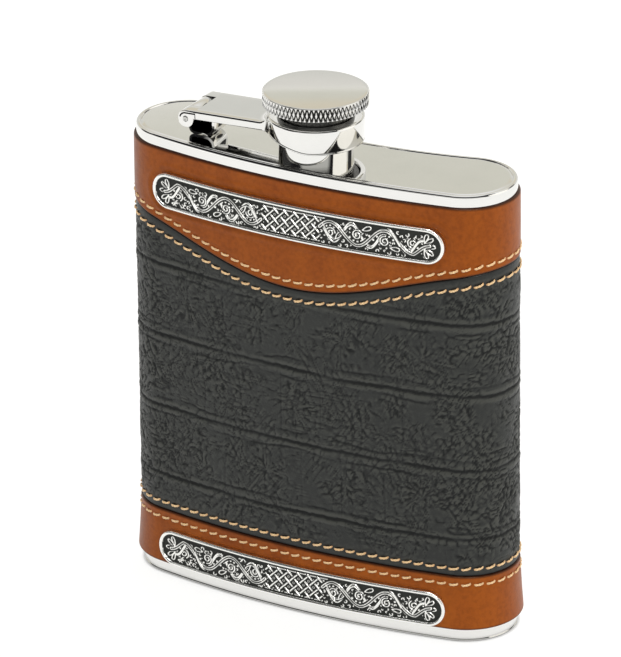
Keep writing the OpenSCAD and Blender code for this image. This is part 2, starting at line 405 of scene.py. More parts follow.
def brown_leather():
    n = new_material("brown_leather")
    cloud = n.noise(45, 5, 0.6)
    # Painted reflection: faint upright streaks of lighter and darker brown in place of gloss streaks
    painted_gloss_streaks = n.noise(75, 3, 0.6, (1, 1, 0.12))
    fine = n.noise(900, 3, 0.6)
    tone = n.ramp(cloud, [(0.3, (0.210, 0.043, 0.003)), (0.55, (0.288, 0.064, 0.005)),
                          (0.75, (0.34, 0.085, 0.008))])
    tone = n.mix(0.5, tone, n.ramp(painted_gloss_streaks, [(0.35, (0.160, 0.029, 0.002)), (0.65, (0.34, 0.085, 0.006))]))
    tone = n.mix(0.30, tone, n.ramp(fine, [(0.35, (0.15, 0.028, 0.002)), (0.6, (0.33, 0.077, 0.006))]))
    tone = n.mix(n.ramp(n.attribute("edge"), [(0.0, 0.0), (0.8, 0.97)]), tone, (0.030, 0.009, 0.005))
    pores = n.ramp(n.cell_edges(2400), [(0.0, 0.0), (0.12, 1.0)])
    normal = n.bump(pores, 0.18, 0.00004, n.bump(n.noise(1500, 4, 0.6), 0.45, 0.00007))
    return n.set(Base_Color=tone, Roughness=n.range(n.noise(260, 4), 0.32, 0.50), Normal=normal,
                 Specular_IOR_Level=0.26, Specular_Tint=(1.0, 0.62, 0.38),
                 Coat_Weight=0.05, Coat_Roughness=0.16)


def black_leather():
    n = new_material("black_leather")
    hollow = n.attribute("hollow")
    tone = n.ramp(n.noise(70, 5, 0.6), [(0.3, (0.0105, 0.0120, 0.0108)), (0.7, (0.0175, 0.0195, 0.0172))])
    # Painted highlight: a lighter tone on the ridges of the hide
    tone = n.mix(n.attribute("ridge_highlight"), tone, (0.048, 0.050, 0.042))
    # Painted shade: a darker tone in the creases and hollows of the hide
    tone = n.mix(n.ramp(hollow, [(0.10, 0.0), (0.8, 0.8)]), tone, (0.0030, 0.0036, 0.0036))
    tone = n.mix(n.ramp(n.attribute("edge"), [(0.0, 0.0), (1.0, 0.9)]), tone, (0.004, 0.004, 0.004))
    cells = n.ramp(n.cell_edges(1300), [(0.0, 0.0), (0.10, 1.0)])
    normal = n.bump(n.noise(1100, 5, 0.65), 0.55, 0.00012, n.bump(cells, 0.30, 0.00008))
    rough = n.math("ADD", n.range(n.noise(330, 4), 0.33, 0.48), n.math("MULTIPLY", hollow, 0.4))
    return n.set(Base_Color=tone, Roughness=rough, Normal=normal, Specular_IOR_Level=0.36)


def polished_steel():
    n = new_material("polished_steel")
    smear = n.noise(90, 5, 0.6)
    tone = n.ramp(smear, [(0.3, (0.782, 0.778, 0.758)), (0.7, (0.815, 0.81, 0.79))])
    scratches = n.noise(1600, 3, 0.7, (1, 14, 9))
    normal = n.bump(scratches, 0.035, 0.00001, n.bump(n.noise(38, 1, 0.3), 0.10, 0.00035))
    return n.set(Base_Color=tone, Metallic=1.0, Roughness=n.range(smear, 0.03, 0.066), Normal=normal)


def satin_steel(name, share=1.0):
    """Brushed steel. A share under 1 darkens it, as painted shade for steel that lies in shadow and faces
    something dark.
    """
    n = new_material(name)
    lines = n.noise(900, 3, 0.6, (1, 1, 22))
    low, high = share * np.array([(0.50, 0.50, 0.48), (0.66, 0.655, 0.63)])
    return n.set(Base_Color=n.ramp(lines, [(0.3, low), (0.7, high)]), Metallic=1.0,
                 Roughness=n.range(lines, 0.22, 0.36), Normal=n.bump(lines, 0.2, 0.00002))


def pewter():
    """Blackened in the hollows and polished on the raised work."""
    n = new_material("pewter")
    grain = n.noise(2600, 4, 0.7)
    level = n.math("ADD", n.attribute("relief"), n.range(grain, -0.10, 0.10))
    tone = n.ramp(level, [(0.12, (0.018, 0.020, 0.017)), (0.42, (0.08, 0.083, 0.075)),
                          (0.66, (0.90, 0.90, 0.87))])
    return n.set(Base_Color=tone, Metallic=n.ramp(level, [(0.15, 0.35), (0.6, 1.0)]),
                 Roughness=n.ramp(level, [(0.15, 0.62), (0.7, 0.24)]), Normal=n.bump(grain, 0.35, 0.00004))


def thread():
    n = new_material("waxed_thread")
    fibres = n.noise(5200, 3, 0.6)
    tone = n.ramp(fibres, [(0.3, (0.60, 0.32, 0.11)), (0.6, (0.88, 0.64, 0.36)), (0.8, (0.97, 0.86, 0.64))])
    tone = n.mix(n.attribute("shade"), tone, (0.36, 0.13, 0.03))
    return n.set(Base_Color=tone, Roughness=0.55, Normal=n.bump(fibres, 0.4, 0.00005),
                 Sheen_Weight=0.25, Sheen_Roughness=0.4)


def soft_plastic(name, dark, light, rough):
    n = new_material(name)
    fine = n.noise(1200, 4, 0.6)
    return n.set(Base_Color=n.ramp(fine, [(0.3, dark), (0.7, light)]),
                 Roughness=n.range(fine, rough, rough + 0.12), Normal=n.bump(fine, 0.15, 0.00003))


BROWN = brown_leather()
BLACK = black_leather()
STEEL = polished_steel()
SATIN = satin_steel("satin_steel")
PEWTER = pewter()
THREAD = thread()
# Painted shade: the brushed steel darkened, for the cap stem, the knurl valleys and the arm's underside
STEEL_IN_PAINTED_SHADE = satin_steel("steel_painted_shade", 0.17)
WASHER = soft_plastic("nylon", (0.70, 0.69, 0.64), (0.80, 0.79, 0.75), 0.45)
RUBBER = soft_plastic("silicone", (0.66, 0.66, 0.64), (0.76, 0.76, 0.74), 0.5)

# ---------------------------------------------------------------- stitching rows
PITCH = 2.7 * MM
STITCH = 2.5 * MM
BROWN_ROW = 1.8 * MM
BLACK_ROW = 2.6 * MM
FOOT_ROW = 1.9 * MM
BACK_ROW = 2.4 * MM
ROW_END = S_HALF - BACK_ROW - 0.7 * MM


def level(value):
    """A function that gives the same value everywhere."""
    return lambda s: np.full_like(s, value)


def row_path(height):
    """Evenly spaced stitch ends (s, z) along a row that runs round the flask at z = height(s)."""
    s = np.linspace(-ROW_END, ROW_END, 4001)
    z = height(s)
    run = np.concatenate([[0], np.cumsum(np.hypot(np.diff(s), np.diff(z)))])
    count = int(run[-1] / PITCH)
    at = (np.arange(count) + 0.5) * run[-1] / count
    return np.stack([np.interp(at, run, s), np.interp(at, run, z)], -1)


ROWS = {
    "thread_top_brown": row_path(lambda s: seam_z(s) + BROWN_ROW),
    "thread_top_black": row_path(lambda s: seam_z(s) - BLACK_ROW),
    "thread_bottom_black": row_path(level(PANEL_LOW_Z + FOOT_ROW)),
    "thread_bottom_brown": row_path(level(PANEL_LOW_Z - FOOT_ROW)),
}
back_low, back_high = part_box("thread_back_seam")
back_z = np.arange(back_low.z, back_high.z, PITCH)
BACK_ROWS = [np.stack([np.full(len(back_z), side * (S_HALF - BACK_ROW)), back_z], -1) for side in (-1, 1)]


def row_groove(s, z, rows):
    """Depth by which the threads pull the leather in, at the surface points (s, z)."""
    depth = np.zeros_like(s)
    for ends in rows:
        low, high = ends[:, 1].min() - 2 * MM, ends[:, 1].max() + 2 * MM
        band = (z > low) & (z < high)
        if not band.any():
            continue
        bs, bz = s[band], z[band]
        if np.ptp(ends[:, 0]) < 1e-6:
            d = np.abs(bs - ends[0, 0])
            along = (bz - ends[0, 1]) / PITCH
        else:
            d = np.abs(bz - np.interp(bs, ends[:, 0], ends[:, 1]))
            along = np.interp(bs, ends[:, 0], np.arange(len(ends))) + 0.5
        to_dimple = PITCH * np.abs(along - np.round(along))
        pull = 0.11 * MM * bell(d, 0.75 * MM)
        dimple = 0.16 * MM * bell(d, 0.38 * MM) * bell(to_dimple, 0.42 * MM)
        depth[band] = np.maximum(depth[band], pull + dimple)
    return depth


# ---------------------------------------------------------------- leather
EDGE_STEPS = np.array([0, 0.03, 0.09, 0.18, 0.30, 0.45, 0.65]) * MM
BUTT = 0.1 * MM
CUT_EDGE = 0.62 * MM


def strip_heights(low, high, step):
    """The heights of a strip's points: close together at both edges, and a step apart between them."""
    near_low, near_high = low + EDGE_STEPS, high - EDGE_STEPS[::-1]
    a, b = near_low[:, -1:], near_high[:, :1]
    between = np.linspace(0, 1, int(np.max(high - low) / step))[1:-1]
    return np.concatenate([near_low, a + (b - a) * between, near_high], 1)


def leather_band(name, low, high, proud, relief, step, edge_r, hollow=None):
    """A strip wrapped round the tube from z = low(s) to high(s), with rolled edges and a butt joint behind.
    proud(z) is how far it stands out from the rims, relief(s, z) its surface relief and hollow(s, z) the
    painted shade of its hollows."""
    columns = int(2 * S_HALF / step)
    s = np.linspace(-S_HALF + BUTT, S_HALF - BUTT, columns)
    z_low, z_high = low(s)[:, None], high(s)[:, None]
    z = strip_heights(z_low, z_high, step)
    wide_s = np.broadcast_to(s[:, None], z.shape)
    to_edge = np.minimum(np.minimum(z - z_low, z_high - z), S_HALF - BUTT - np.abs(wide_s))
    roll = np.clip(1 - to_edge / edge_r, 0, 1)
    h = relief(wide_s, z)
    glued = np.full((columns, 1), -SHEET_T)
    off = np.concatenate([glued, proud(z) + h - edge_r * (1 - np.sqrt(1 - roll ** 2)), glued], 1)
    p, n = rim(s)
    xy = p[:, None] + n[:, None] * off[..., None]
    verts = np.concatenate([xy, np.concatenate([z_low, z, z_high], 1)[..., None]], -1)
    rows = off.shape[1]
    faces = grid_faces(columns, rows, False, True)
    faces += [tuple(range(rows)), tuple(range((columns - 1) * rows, columns * rows))[::-1]]
    obj = outward(mesh_object(name, verts.reshape(-1, 3), faces))

    def keep(field, values, on_glued_side):
        pad = np.full((columns, 1), on_glued_side)
        store(obj, field, np.concatenate([pad, values, pad], 1))

    keep("edge", np.clip(1 - to_edge / CUT_EDGE, 0, 1), 1.0)
    if hollow is not None:
        # Painted shade in the hollows of the relief and a painted highlight on its ridges, stored for the
        # material
        local = h - blurred(h)
        keep("hollow", np.maximum(hollow(wide_s, z), np.clip(-local / (0.055 * MM) - 0.15, 0, 1)), 0.0)
        keep("ridge_highlight", np.clip(local / (0.06 * MM) - 0.1, 0, 0.8), 0.0)
    return obj


def blurred(h, passes=10):
    """The height field with its fine relief smoothed away."""
    for _ in range(passes):
        h = np.pad(h, 1, mode="edge")
        h = (h[1:-1, 1:-1] * 2 + h[:-2, 1:-1] + h[2:, 1:-1] + h[1:-1, :-2] + h[1:-1, 2:]) / 6
    return h


# Large scales of the embossed hide: level rows with upright divisions, and stars of fine wrinkles
CREASES = np.array([94.0, 76.3, 59.4, 41.8, 24.9, 8.0]) * MM
DIVISION = 10.0 * MM
STAR_PITCH = 20.0 * MM


def crease_line(s, k):
    wander = fractal(s / (17 * MM) + 3.1 * k, 0.5 + k, 40 + k, 3) - 0.5
    return CREASES[k] + 1.0 * MM * wander


def cell_value(cell, k, seed):
    """A number from 0 to 1 that belongs to one cell of row k."""
    return lattice(cell.astype(np.int64), np.full(cell.shape, k), seed)


class Hide:
    """The embossed hide over surface points (s, z): its height in metres, and its painted shade from 0 to 1,
    darkest in the creases and wrinkles.
    """

    def __init__(self, s, z):
        self.s, self.z = s, z
        self.height = np.zeros_like(s)
        self.dark = np.zeros_like(s)
        for k in range(len(CREASES)):
            self.crease(k)
        for k in range(len(CREASES) - 1):
            self.division(k)
            self.star(k)
        self.loose_wrinkles()
        self.height += 0.16 * MM * (self.cloud(9, 220) - 0.5) + 0.09 * MM * (self.cloud(1.3, 221) - 0.5)
        self.dark = np.clip(self.dark, 0, 1)

    def cloud(self, size, seed):
        """Soft noise with blotches of a size in millimetres."""
        return fractal(self.s / (size * MM), self.z / (size * MM), seed, 3)

    def field(self, wide, high, seed):
        """Smooth noise with cells of a width and a height in millimetres."""
        return noise(self.s / (wide * MM), self.z / (high * MM), seed)

    def cut(self, pattern, depth, painted_shade):
        """Presses a pattern from 0 to 1 in by a depth in millimetres, and darkens it with painted shade."""
        self.height -= MM * depth * pattern
        self.dark = np.maximum(self.dark, painted_shade * pattern)

    def crease(self, k):
        """The crease along row k, with a swelling on each side and a fainter second line."""
        depth = 0.35 + noise(self.s / (8 * MM), k, 60 + k)
        d = (self.z - crease_line(self.s, k)) / MM
        ragged = 0.25 * (noise(self.s / (0.9 * MM), k, 65 + k) - 0.5)
        self.cut(depth * bell(d + ragged, 0.36), 0.19, 0.85)
        self.height += MM * depth * (0.12 * bell(d + 1.05, 0.7) + 0.10 * bell(d - 1.0, 0.6))
        for side, seed in ((1, 80), (-1, 85)):
            second = np.clip(2.4 * noise(self.s / (6 * MM), k, seed + k) - 0.8, 0, 1)
            apart = side * (1.3 + 1.3 * noise(self.s / (10 * MM), k, seed + 10 + k))
            self.cut(bell(d - apart + ragged, 0.28) * second, 0.12, 0.6)

    def row(self, k):
        """The upper and lower edge of row k, and where its points are."""
        top, low = crease_line(self.s, k), crease_line(self.s, k + 1)
        return top, low, (self.z <= top) & (self.z > low)

    def division(self, k):
        """The swelling of row k, and the upright lines that divide it."""
        top, low, inside = self.row(k)
        across = np.clip((self.z - low) / (top - low), 0, 1)
        pillow = inside * (1 - np.abs(2 * across - 1) ** 5)
        self.height += 0.07 * MM * pillow
        place = self.s - DIVISION * 0.55 * (k % 2) + 3.7 * MM
        cell = np.round(place / DIVISION)
        lean = 1.2 * MM * (noise(self.z / (6 * MM), cell * 3.3, 120 + k) - 0.5)
        d = ((place + lean + DIVISION / 2) % DIVISION - DIVISION / 2) / MM
        self.cut(bell(d, 0.20) * (0.35 + 0.65 * cell_value(cell, k, 5)) * pillow, 0.06, 0.25)

    def star(self, k):
        """The stars of wrinkles along row k."""
        top, low, inside = self.row(k)
        shift = STAR_PITCH * 0.5 * (k % 2) + 1.5 * MM
        cell = np.round((self.s - shift) / STAR_PITCH)
        centre_s = cell * STAR_PITCH + shift + 2.5 * MM * (cell_value(cell, k, 9) - 0.5)
        centre_z = low + (top - low) * (0.42 + 0.2 * cell_value(cell, k, 10))
        ds, dz = (self.s - centre_s) / MM, (self.z - centre_z) / MM
        warp = 0.6 * (self.cloud(3.2, 130 + k) - 0.5)
        angle = np.arctan2(dz, ds) + warp
        radius = np.hypot(ds, dz)
        spokes = ridges(angle * 4.6 + 40 + 7 * cell, radius / 2.0 + 3 * warp, 140 + k, 4)
        dashes = np.clip(2.6 * noise(angle * 3.1 + 11 * cell, radius / 1.1, 145 + k) - 0.75, 0, 1)
        reach = bell(radius - 3.4, 3.6) * (0.35 + 0.9 * self.field(4, 3, 150 + k))
        self.cut(inside * spokes * dashes * reach, 0.24, 1.1)

    def loose_wrinkles(self):
        """Wrinkles everywhere, level and sloping both ways, deeper round the ends of the flask."""
        past = np.abs(self.s) / MM
        deeper = 1 + 0.9 * np.clip((past - 34) / 8, 0, 1) * np.clip((80 - past) / 8, 0, 1)
        a = self.s / MM + self.cloud(5, 201)
        b = self.z / MM + self.cloud(5, 202)
        flat = ridges(a / 2.4, b / 0.75, 210, 6) * np.clip(2.6 * self.field(6, 4, 211) - 0.8, 0, 1)
        rising = ridges(a / 0.75 + b / 1.2, b / 2.6 - a / 3.4, 212, 6)
        rising *= np.clip(2.8 * self.field(5, 5, 213) - 0.8, 0, 1)
        falling = ridges(a / 0.75 - b / 1.1, b / 2.6 + a / 3.4, 214, 6)
        falling *= np.clip(2.8 * self.field(5, 5, 215) - 0.9, 0, 1)
        self.cut(flat, 0.11 * deeper, 0.6)
        self.cut(rising, 0.13 * deeper, 0.6)
        self.cut(falling, 0.13 * deeper, 0.6)


def calm_near_seams(s, z):
    """1 on the open panel, falling to 0.15 beside the seams, where the stitching presses the hide flat."""
    below = np.clip((seam_z(s) - z - 2.2 * MM) / (3.5 * MM), 0, 1)
    above = np.clip((z - PANEL_LOW_Z - 2.0 * MM) / (3.0 * MM), 0, 1)
    return 0.15 + 0.85 * below * above


def panel_relief(s, z):
    rows = [ROWS["thread_top_black"], ROWS["thread_bottom_black"], *BACK_ROWS]
    pull = 0.14 * MM * (bell(seam_z(s) - z, 1.3 * MM) + bell(z - PANEL_LOW_Z, 1.0 * MM))
    return Hide(s, z).height * calm_near_seams(s, z) - row_groove(s, z, rows) - pull


# Painted shade in the creases and wrinkles, fainter beside the seams
def panel_painted_shade(s, z):
    return Hide(s, z).dark * calm_near_seams(s, z)


# Badges
upper_lo, upper_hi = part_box("upper_badge")
lower_lo, lower_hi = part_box("lower_badge")
BADGE_T = 1.2 * MM
BADGE_GRID = (1000, 112)


def badge_distance(s, z, lo, hi):
    """Distance outside a badge's round-ended outline, negative within it."""
    r = (hi.z - lo.z) / 2
    flat = (hi.x - lo.x) / 2 - r
    x = rim(s)[0][..., 0]
    away = np.hypot(np.maximum(np.abs(x - (lo.x + hi.x) / 2) - flat, 0), z - (lo.z + hi.z) / 2) - r
    return np.where(np.abs(s) < S_FRONT + 6 * MM, away, 1.0)


def seat(s, z, lo, hi):
    """The leather is pressed in under a badge and swells a little around it."""
    d = badge_distance(s, z, lo, hi)
    pressed = np.clip(1 - d / (0.9 * MM), 0, 1) * (d > -1 * MM)
    return 0.16 * MM * bell(d - 1.5 * MM, 0.55 * MM) - 0.12 * MM * pressed


def swell(s, z, seed):
    """The soft unevenness of the smooth leather."""
    return 0.10 * MM * (fractal(s / (16 * MM), z / (16 * MM), seed, 3) - 0.5)


def top_relief(s, z):
    return swell(s, z, 300) + seat(s, z, upper_lo, upper_hi) - row_groove(s, z, [ROWS["thread_top_brown"]])


def foot_relief(s, z):
    return swell(s, z, 301) - row_groove(s, z, [ROWS["thread_bottom_brown"]])


def foot_proud(z):
    """The bottom band thickens towards its lower edge."""
    t = np.clip((PANEL_LOW_Z - z) / (PANEL_LOW_Z - LEATHER_LOW_Z), 0, 1)
    return LEATHER_PROUD + 0.1 * MM + 0.75 * MM * t ** 1.3


PANEL_PROUD = LEATHER_PROUD - 0.05 * MM
BAND_PROUD = LEATHER_PROUD + 0.1 * MM
PANEL_STEP = 0.30 * MM
BAND_STEP = 0.5 * MM
mid = leather_band("leather_mid", level(PANEL_LOW_Z), seam_z, level(PANEL_PROUD), panel_relief, PANEL_STEP,
                   0.45 * MM, panel_painted_shade)
piece(mid, "flask", "black_leather", BLACK, "leather_mid_panel")
top = leather_band("leather_top", seam_z, level(LEATHER_TOP_Z), level(BAND_PROUD), top_relief,
                   BAND_STEP, 0.5 * MM)
piece(top, "flask", "brown_leather", BROWN, "leather_top_band")
foot = leather_band("leather_bottom", level(LEATHER_LOW_Z), level(PANEL_LOW_Z), foot_proud, foot_relief,
                    BAND_STEP, 0.5 * MM)
piece(foot, "flask", "brown_leather", BROWN, "leather_bottom_band")


# ---------------------------------------------------------------- stitches
THREAD_R = 0.25 * MM
ALONG = np.linspace(-1, 1, 15)
AROUND = round_angles(10)
# Along a stitch: how far it rises out of the leather, how its radius tapers, and how it bows sideways
RISE = 0.30 * MM * (1 - np.abs(ALONG) ** 3.5) - 0.34 * MM * np.abs(ALONG) ** 9
TAPER = np.sqrt(np.clip(1 - 0.55 * np.abs(ALONG) ** 6, 0, 1))
BOW = 0.16 * MM * (ALONG ** 2 - 0.4) + 0.10 * MM * ALONG ** 3
TWO_PLY = 1 + 0.17 * np.cos(2 * (AROUND[None] - 5.0 * ALONG[:, None]))


def strand(start, end, jitter, proud, slant):
    """The rings of points of one two-ply stitch between two holes (s, z)."""
    (mid_s, mid_z), way = (start + end) / 2, (end - start) / np.hypot(*(end - start))
    turn = math.radians(slant + 4 * jitter[0])
    ds = way[0] * math.cos(turn) - way[1] * math.sin(turn)
    dz = way[0] * math.sin(turn) + way[1] * math.cos(turn)
    half = STITCH * (1 + 0.05 * jitter[1]) / 2
    s = mid_s + ds * half * ALONG - dz * BOW
    z = mid_z + dz * half * ALONG + ds * BOW
    p, n = rim(s)
    off = proud(mid_z) + RISE + 0.02 * MM * jitter[2]
    centre = np.concatenate([p + n * off[:, None], z[:, None]], 1)
    nx, ny = rim(mid_s)[1]
    outwards = np.array([nx, ny, 0.0])
    sideways = np.cross((-ny * ds, nx * ds, dz), outwards)
    r = (THREAD_R * TAPER[:, None] * TWO_PLY)[..., None]
    turned = np.cos(AROUND)[:, None] * sideways + 0.85 * np.sin(AROUND)[:, None] * outwards
    return centre[:, None] + r * turned


def stitches(name, rows, proud, sink, slant=9.0):
    """Separate stitches between the holes of each row, all in one mesh."""
    count, sides = len(ALONG), len(AROUND)
    pairs = [pair for ends in rows for pair in zip(ends[:-1], ends[1:])]
    pairs = [(a, b) for a, b in pairs if np.hypot(*(b - a)) <= 1.5 * PITCH]
    verts = [strand(a, b, rng.uniform(-1, 1, 3), lambda z: proud(z) - sink, slant) for a, b in pairs]
    last = (count - 1) * sides
    one = grid_faces(count, sides, False, True)
    one += [tuple(range(sides)), tuple(range(last, last + sides))[::-1]]
    faces = [tuple(i + k * count * sides for i in f) for k in range(len(pairs)) for f in one]
    obj = outward(mesh_object(name, np.concatenate(verts).reshape(-1, 3), faces))
    shade = np.repeat(0.8 * np.abs(ALONG) ** 4, sides)
    store(obj, "shade", np.tile(shade, len(pairs)))
    return obj


flat = level(LEATHER_PROUD - 0.02 * MM)
for row, proud, sink in (("thread_top_brown", level(BAND_PROUD), 0.25 * MM),
                         ("thread_top_black", flat, 0.14 * MM),
                         ("thread_bottom_black", flat, 0.14 * MM),
                         ("thread_bottom_brown", foot_proud, 0.25 * MM)):
    stitched = stitches(row.replace("thread", "stitches"), [ROWS[row]], proud, sink)
    piece(stitched, "flask", "waxed_thread", THREAD, row)
stitched = stitches("stitches_back", BACK_ROWS, flat, 0.12 * MM, 0.0)
piece(stitched, "flask", "waxed_thread", THREAD, "thread_back_seam")


# ---------------------------------------------------------------- badges
LATTICE = 2.55 * MM
FIELD = 3.05 * MM
LATTICE_REACH = 7.2 * MM
VINE_START = 7.4 * MM
VINE_END = 33.4 * MM


class Relief:
    """Raised strands on a flat field. The one with the higher level passes over the others."""

    def __init__(self, a, b):
        self.a, self.b = a, b
        self.strands = []
        self.free = np.full(a.shape, 1.0)

    def strand(self, points, levels=0.0, width=0.26, rise=1.0, groove=0.0):
        """points in metres. levels is one number, or one per point."""
        points = np.asarray(points, float)
        levels = np.broadcast_to(levels, len(points)).astype(float)
        run = np.concatenate([[0], np.cumsum(np.hypot(*np.diff(points, axis=0).T))])
        at = np.arange(0, run[-1] + 1e-9, 0.05 * MM)
        line = np.stack([np.interp(at, run, points[:, 0]), np.interp(at, run, points[:, 1])], -1)
        lift = np.interp(at, run, levels)
        width = width * MM
        near = np.full(self.a.shape, 1.0)
        own = np.zeros(self.a.shape)
        col, row = self.a[:, self.a.shape[1] // 2], self.b[0]
        reach = width * 1.6 + 0.4 * MM
        for (pa, pb), l in zip(line, lift):
            i0, i1 = np.searchsorted(col, (pa - reach * 1.4, pa + reach * 1.4))
            j0, j1 = np.searchsorted(row, (pb - reach, pb + reach))
            if i0 >= i1 or j0 >= j1:
                continue
            d = np.hypot(self.a[i0:i1, j0:j1] - pa, self.b[i0:i1, j0:j1] - pb)
            part, level = near[i0:i1, j0:j1], own[i0:i1, j0:j1]
            better = d < part
            part[better] = d[better]
            level[better] = l
        self.strands.append((near, own, width, rise, groove))
        self.free = np.minimum(self.free, near - width)

    def room(self, pa, pb):
        """How far the point is from the nearest strand."""
        i = min(np.searchsorted(self.a[:, self.a.shape[1] // 2], pa), self.a.shape[0] - 1)
        j = min(np.searchsorted(self.b[0], pb), self.b.shape[1] - 1)
        return self.free[i, j]

    def combine(self):
        top = np.full(self.a.shape, -9.0)
        for near, own, width, _, _ in self.strands:
            cover = near < width * 1.5
            top = np.where(cover & (own > top), own, top)
        height = np.zeros(self.a.shape)
        for near, own, width, rise, groove in self.strands:
            t = np.clip(near / width, 0, 1)
            shape = rise * np.sqrt(1 - t ** 2.6) - groove * np.exp(-(near / (0.30 * width)) ** 2) * (t < 1)
            shape = shape * (0.86 + 0.14 * np.clip(own, -1, 1))
            shape = np.where((near < width) & (own >= top - 0.35), shape, 0)
            height = np.maximum(height, shape)
        return height


def curl(ca, cb, r, start=0.0, turns=1.0, shrink=0.0, n=60):
    """Points of a ring, or of a volute that shrinks towards its middle."""
    t = np.linspace(0, 1, n)
    angle = start + 2 * math.pi * turns * t
    rr = r * (1 - shrink * t)
    return np.stack([ca + rr * np.cos(angle), cb + rr * np.sin(angle)], -1)


def leaf(ca, cb, length, width, angle, n=40):
    t = np.linspace(0, 2 * math.pi, n)
    u = length * (1 - np.cos(t)) / 2
    v = width * np.sin(t) * np.sin(t / 2) ** 0.8
    return np.stack([ca + u * math.cos(angle) - v * math.sin(angle),
                     cb + u * math.sin(angle) + v * math.cos(angle)], -1)


def plait(relief):
    """The middle of the ornament: crossing diagonals, closed into triangles along both edges."""
    half = FIELD - 0.25 * MM
    for k in range(-6, 7):
        for slope in (1, -1):
            x = np.linspace(-LATTICE_REACH, LATTICE_REACH, 360)
            y = slope * (x + k * LATTICE + LATTICE / 2)
            keep = np.abs(y) <= half
            if keep.sum() > 20:
                over = slope * np.cos(2 * math.pi * x[keep] / LATTICE)
                relief.strand(np.stack([x[keep], y[keep]], -1), over, width=0.25)
    for k in range(-3, 3):
        for edge in (-1, 1):
            left = (k + 0.12 + 0.5 * (edge > 0)) * LATTICE
            relief.strand([(left, edge * half), (left + 0.76 * LATTICE, edge * half)], -0.2, width=0.2)
    for k in range(-5, 6):
        for row in (-1, 0, 1):
            x, y = k * LATTICE / 2, row * LATTICE / 2
            if (k + row) % 2 == 0 and abs(x) < LATTICE_REACH - 1 * MM:
                relief.strand(curl(x, y * 0.98, 0.24 * MM), -0.9, width=0.15, rise=0.75)


def vines(relief, place):
    """One half of the ornament: two crossing bands, with volutes, beads and leaves between them."""
    length = VINE_END - VINE_START
    x = np.linspace(VINE_START, VINE_END, 300)
    t = (x - VINE_START) / length
    fade = np.clip((1.02 - t) / 0.16, 0.25, 1)
    wide = 2.25 * MM * np.sin(2 * math.pi * 2.0 * t + 0.3) * fade
    slim = 2.35 * MM * np.sin(2 * math.pi * 3.0 * t + 2.2) * fade
    swing = np.cos(2 * math.pi * 5.0 * t + 0.4)
    relief.strand(place(np.stack([x, wide], -1)), swing, width=0.46, groove=0.75)
    relief.strand(place(np.stack([x, slim], -1)), -swing, width=0.26)
    relief.strand(place(np.stack([x, slim + 0.72 * MM * (1 - 0.6 * t)], -1)), -swing, width=0.19, rise=0.95)
    for lobe in range(4):
        centre = VINE_START + length * (0.10 + 0.25 * lobe)
        across = 0.75 * MM * (-1 if lobe % 2 else 1)
        relief.strand(place(curl(centre, -across * 0.3, 1.22 * MM, 0.7 * lobe, 1.6, 0.8)), 0.15, width=0.21)
        sprout = leaf(centre + 1.3 * MM, -2.1 * across, 2.2 * MM, 0.55 * MM, 0.9 - 0.5 * lobe)
        relief.strand(place(sprout), -0.3, width=0.19, rise=0.95)
    for k in range(26):
        bead = VINE_START + length * (0.03 + 0.036 * k)
        y = np.interp(bead, x, wide)
        side = -1 if y > 0 else 1
        if relief.room(*place([(bead, y + side * 0.9 * MM)])[0]) > 0.12 * MM:
            relief.strand(place(curl(bead, y + side * 0.9 * MM, 0.13 * MM)), -0.8, width=0.2, rise=0.95)
    for angle in (-1.2, -0.6, 0.0, 0.6, 1.2):
        length = 2.5 * MM * math.cos(angle * 0.5)
        petal = leaf(VINE_END - 1.2 * MM, 1.0 * MM * math.sin(angle), length, 0.5 * MM, angle)
        relief.strand(place(petal), 0.1, width=0.19)


def fill_gaps(relief, draw):
    """Small commas and beads wherever the ground is still open."""
    for x in np.arange(-33.2, 33.3, 0.8) * MM:
        for y in np.arange(-2.7, 2.8, 0.8) * MM:
            px, py = x + draw.uniform(-0.25, 0.25) * MM, y + draw.uniform(-0.25, 0.25) * MM
            turn, bend = draw.uniform(0, 2 * math.pi), draw.choice((-1, 1))
            space = relief.room(px, py)
            if space < 0.22 * MM:
                continue
            r = min(space - 0.05 * MM, 0.62 * MM)
            comma = curl(px, py, r * 0.72, turn, bend * 0.6, 0.35, 16)
            relief.strand(comma, -0.9, width=min(0.2, 0.55 * r / MM), rise=0.95)


def knotwork(a, b):
    """A generic ornament: a plait in the middle, and a half turn of the same vines on each side of it."""
    relief = Relief(a, b)
    plait(relief)
    vines(relief, lambda points: np.asarray(points, float))
    vines(relief, lambda points: -np.asarray(points, float))
    fill_gaps(relief, np.random.default_rng(11))
    return relief.combine()


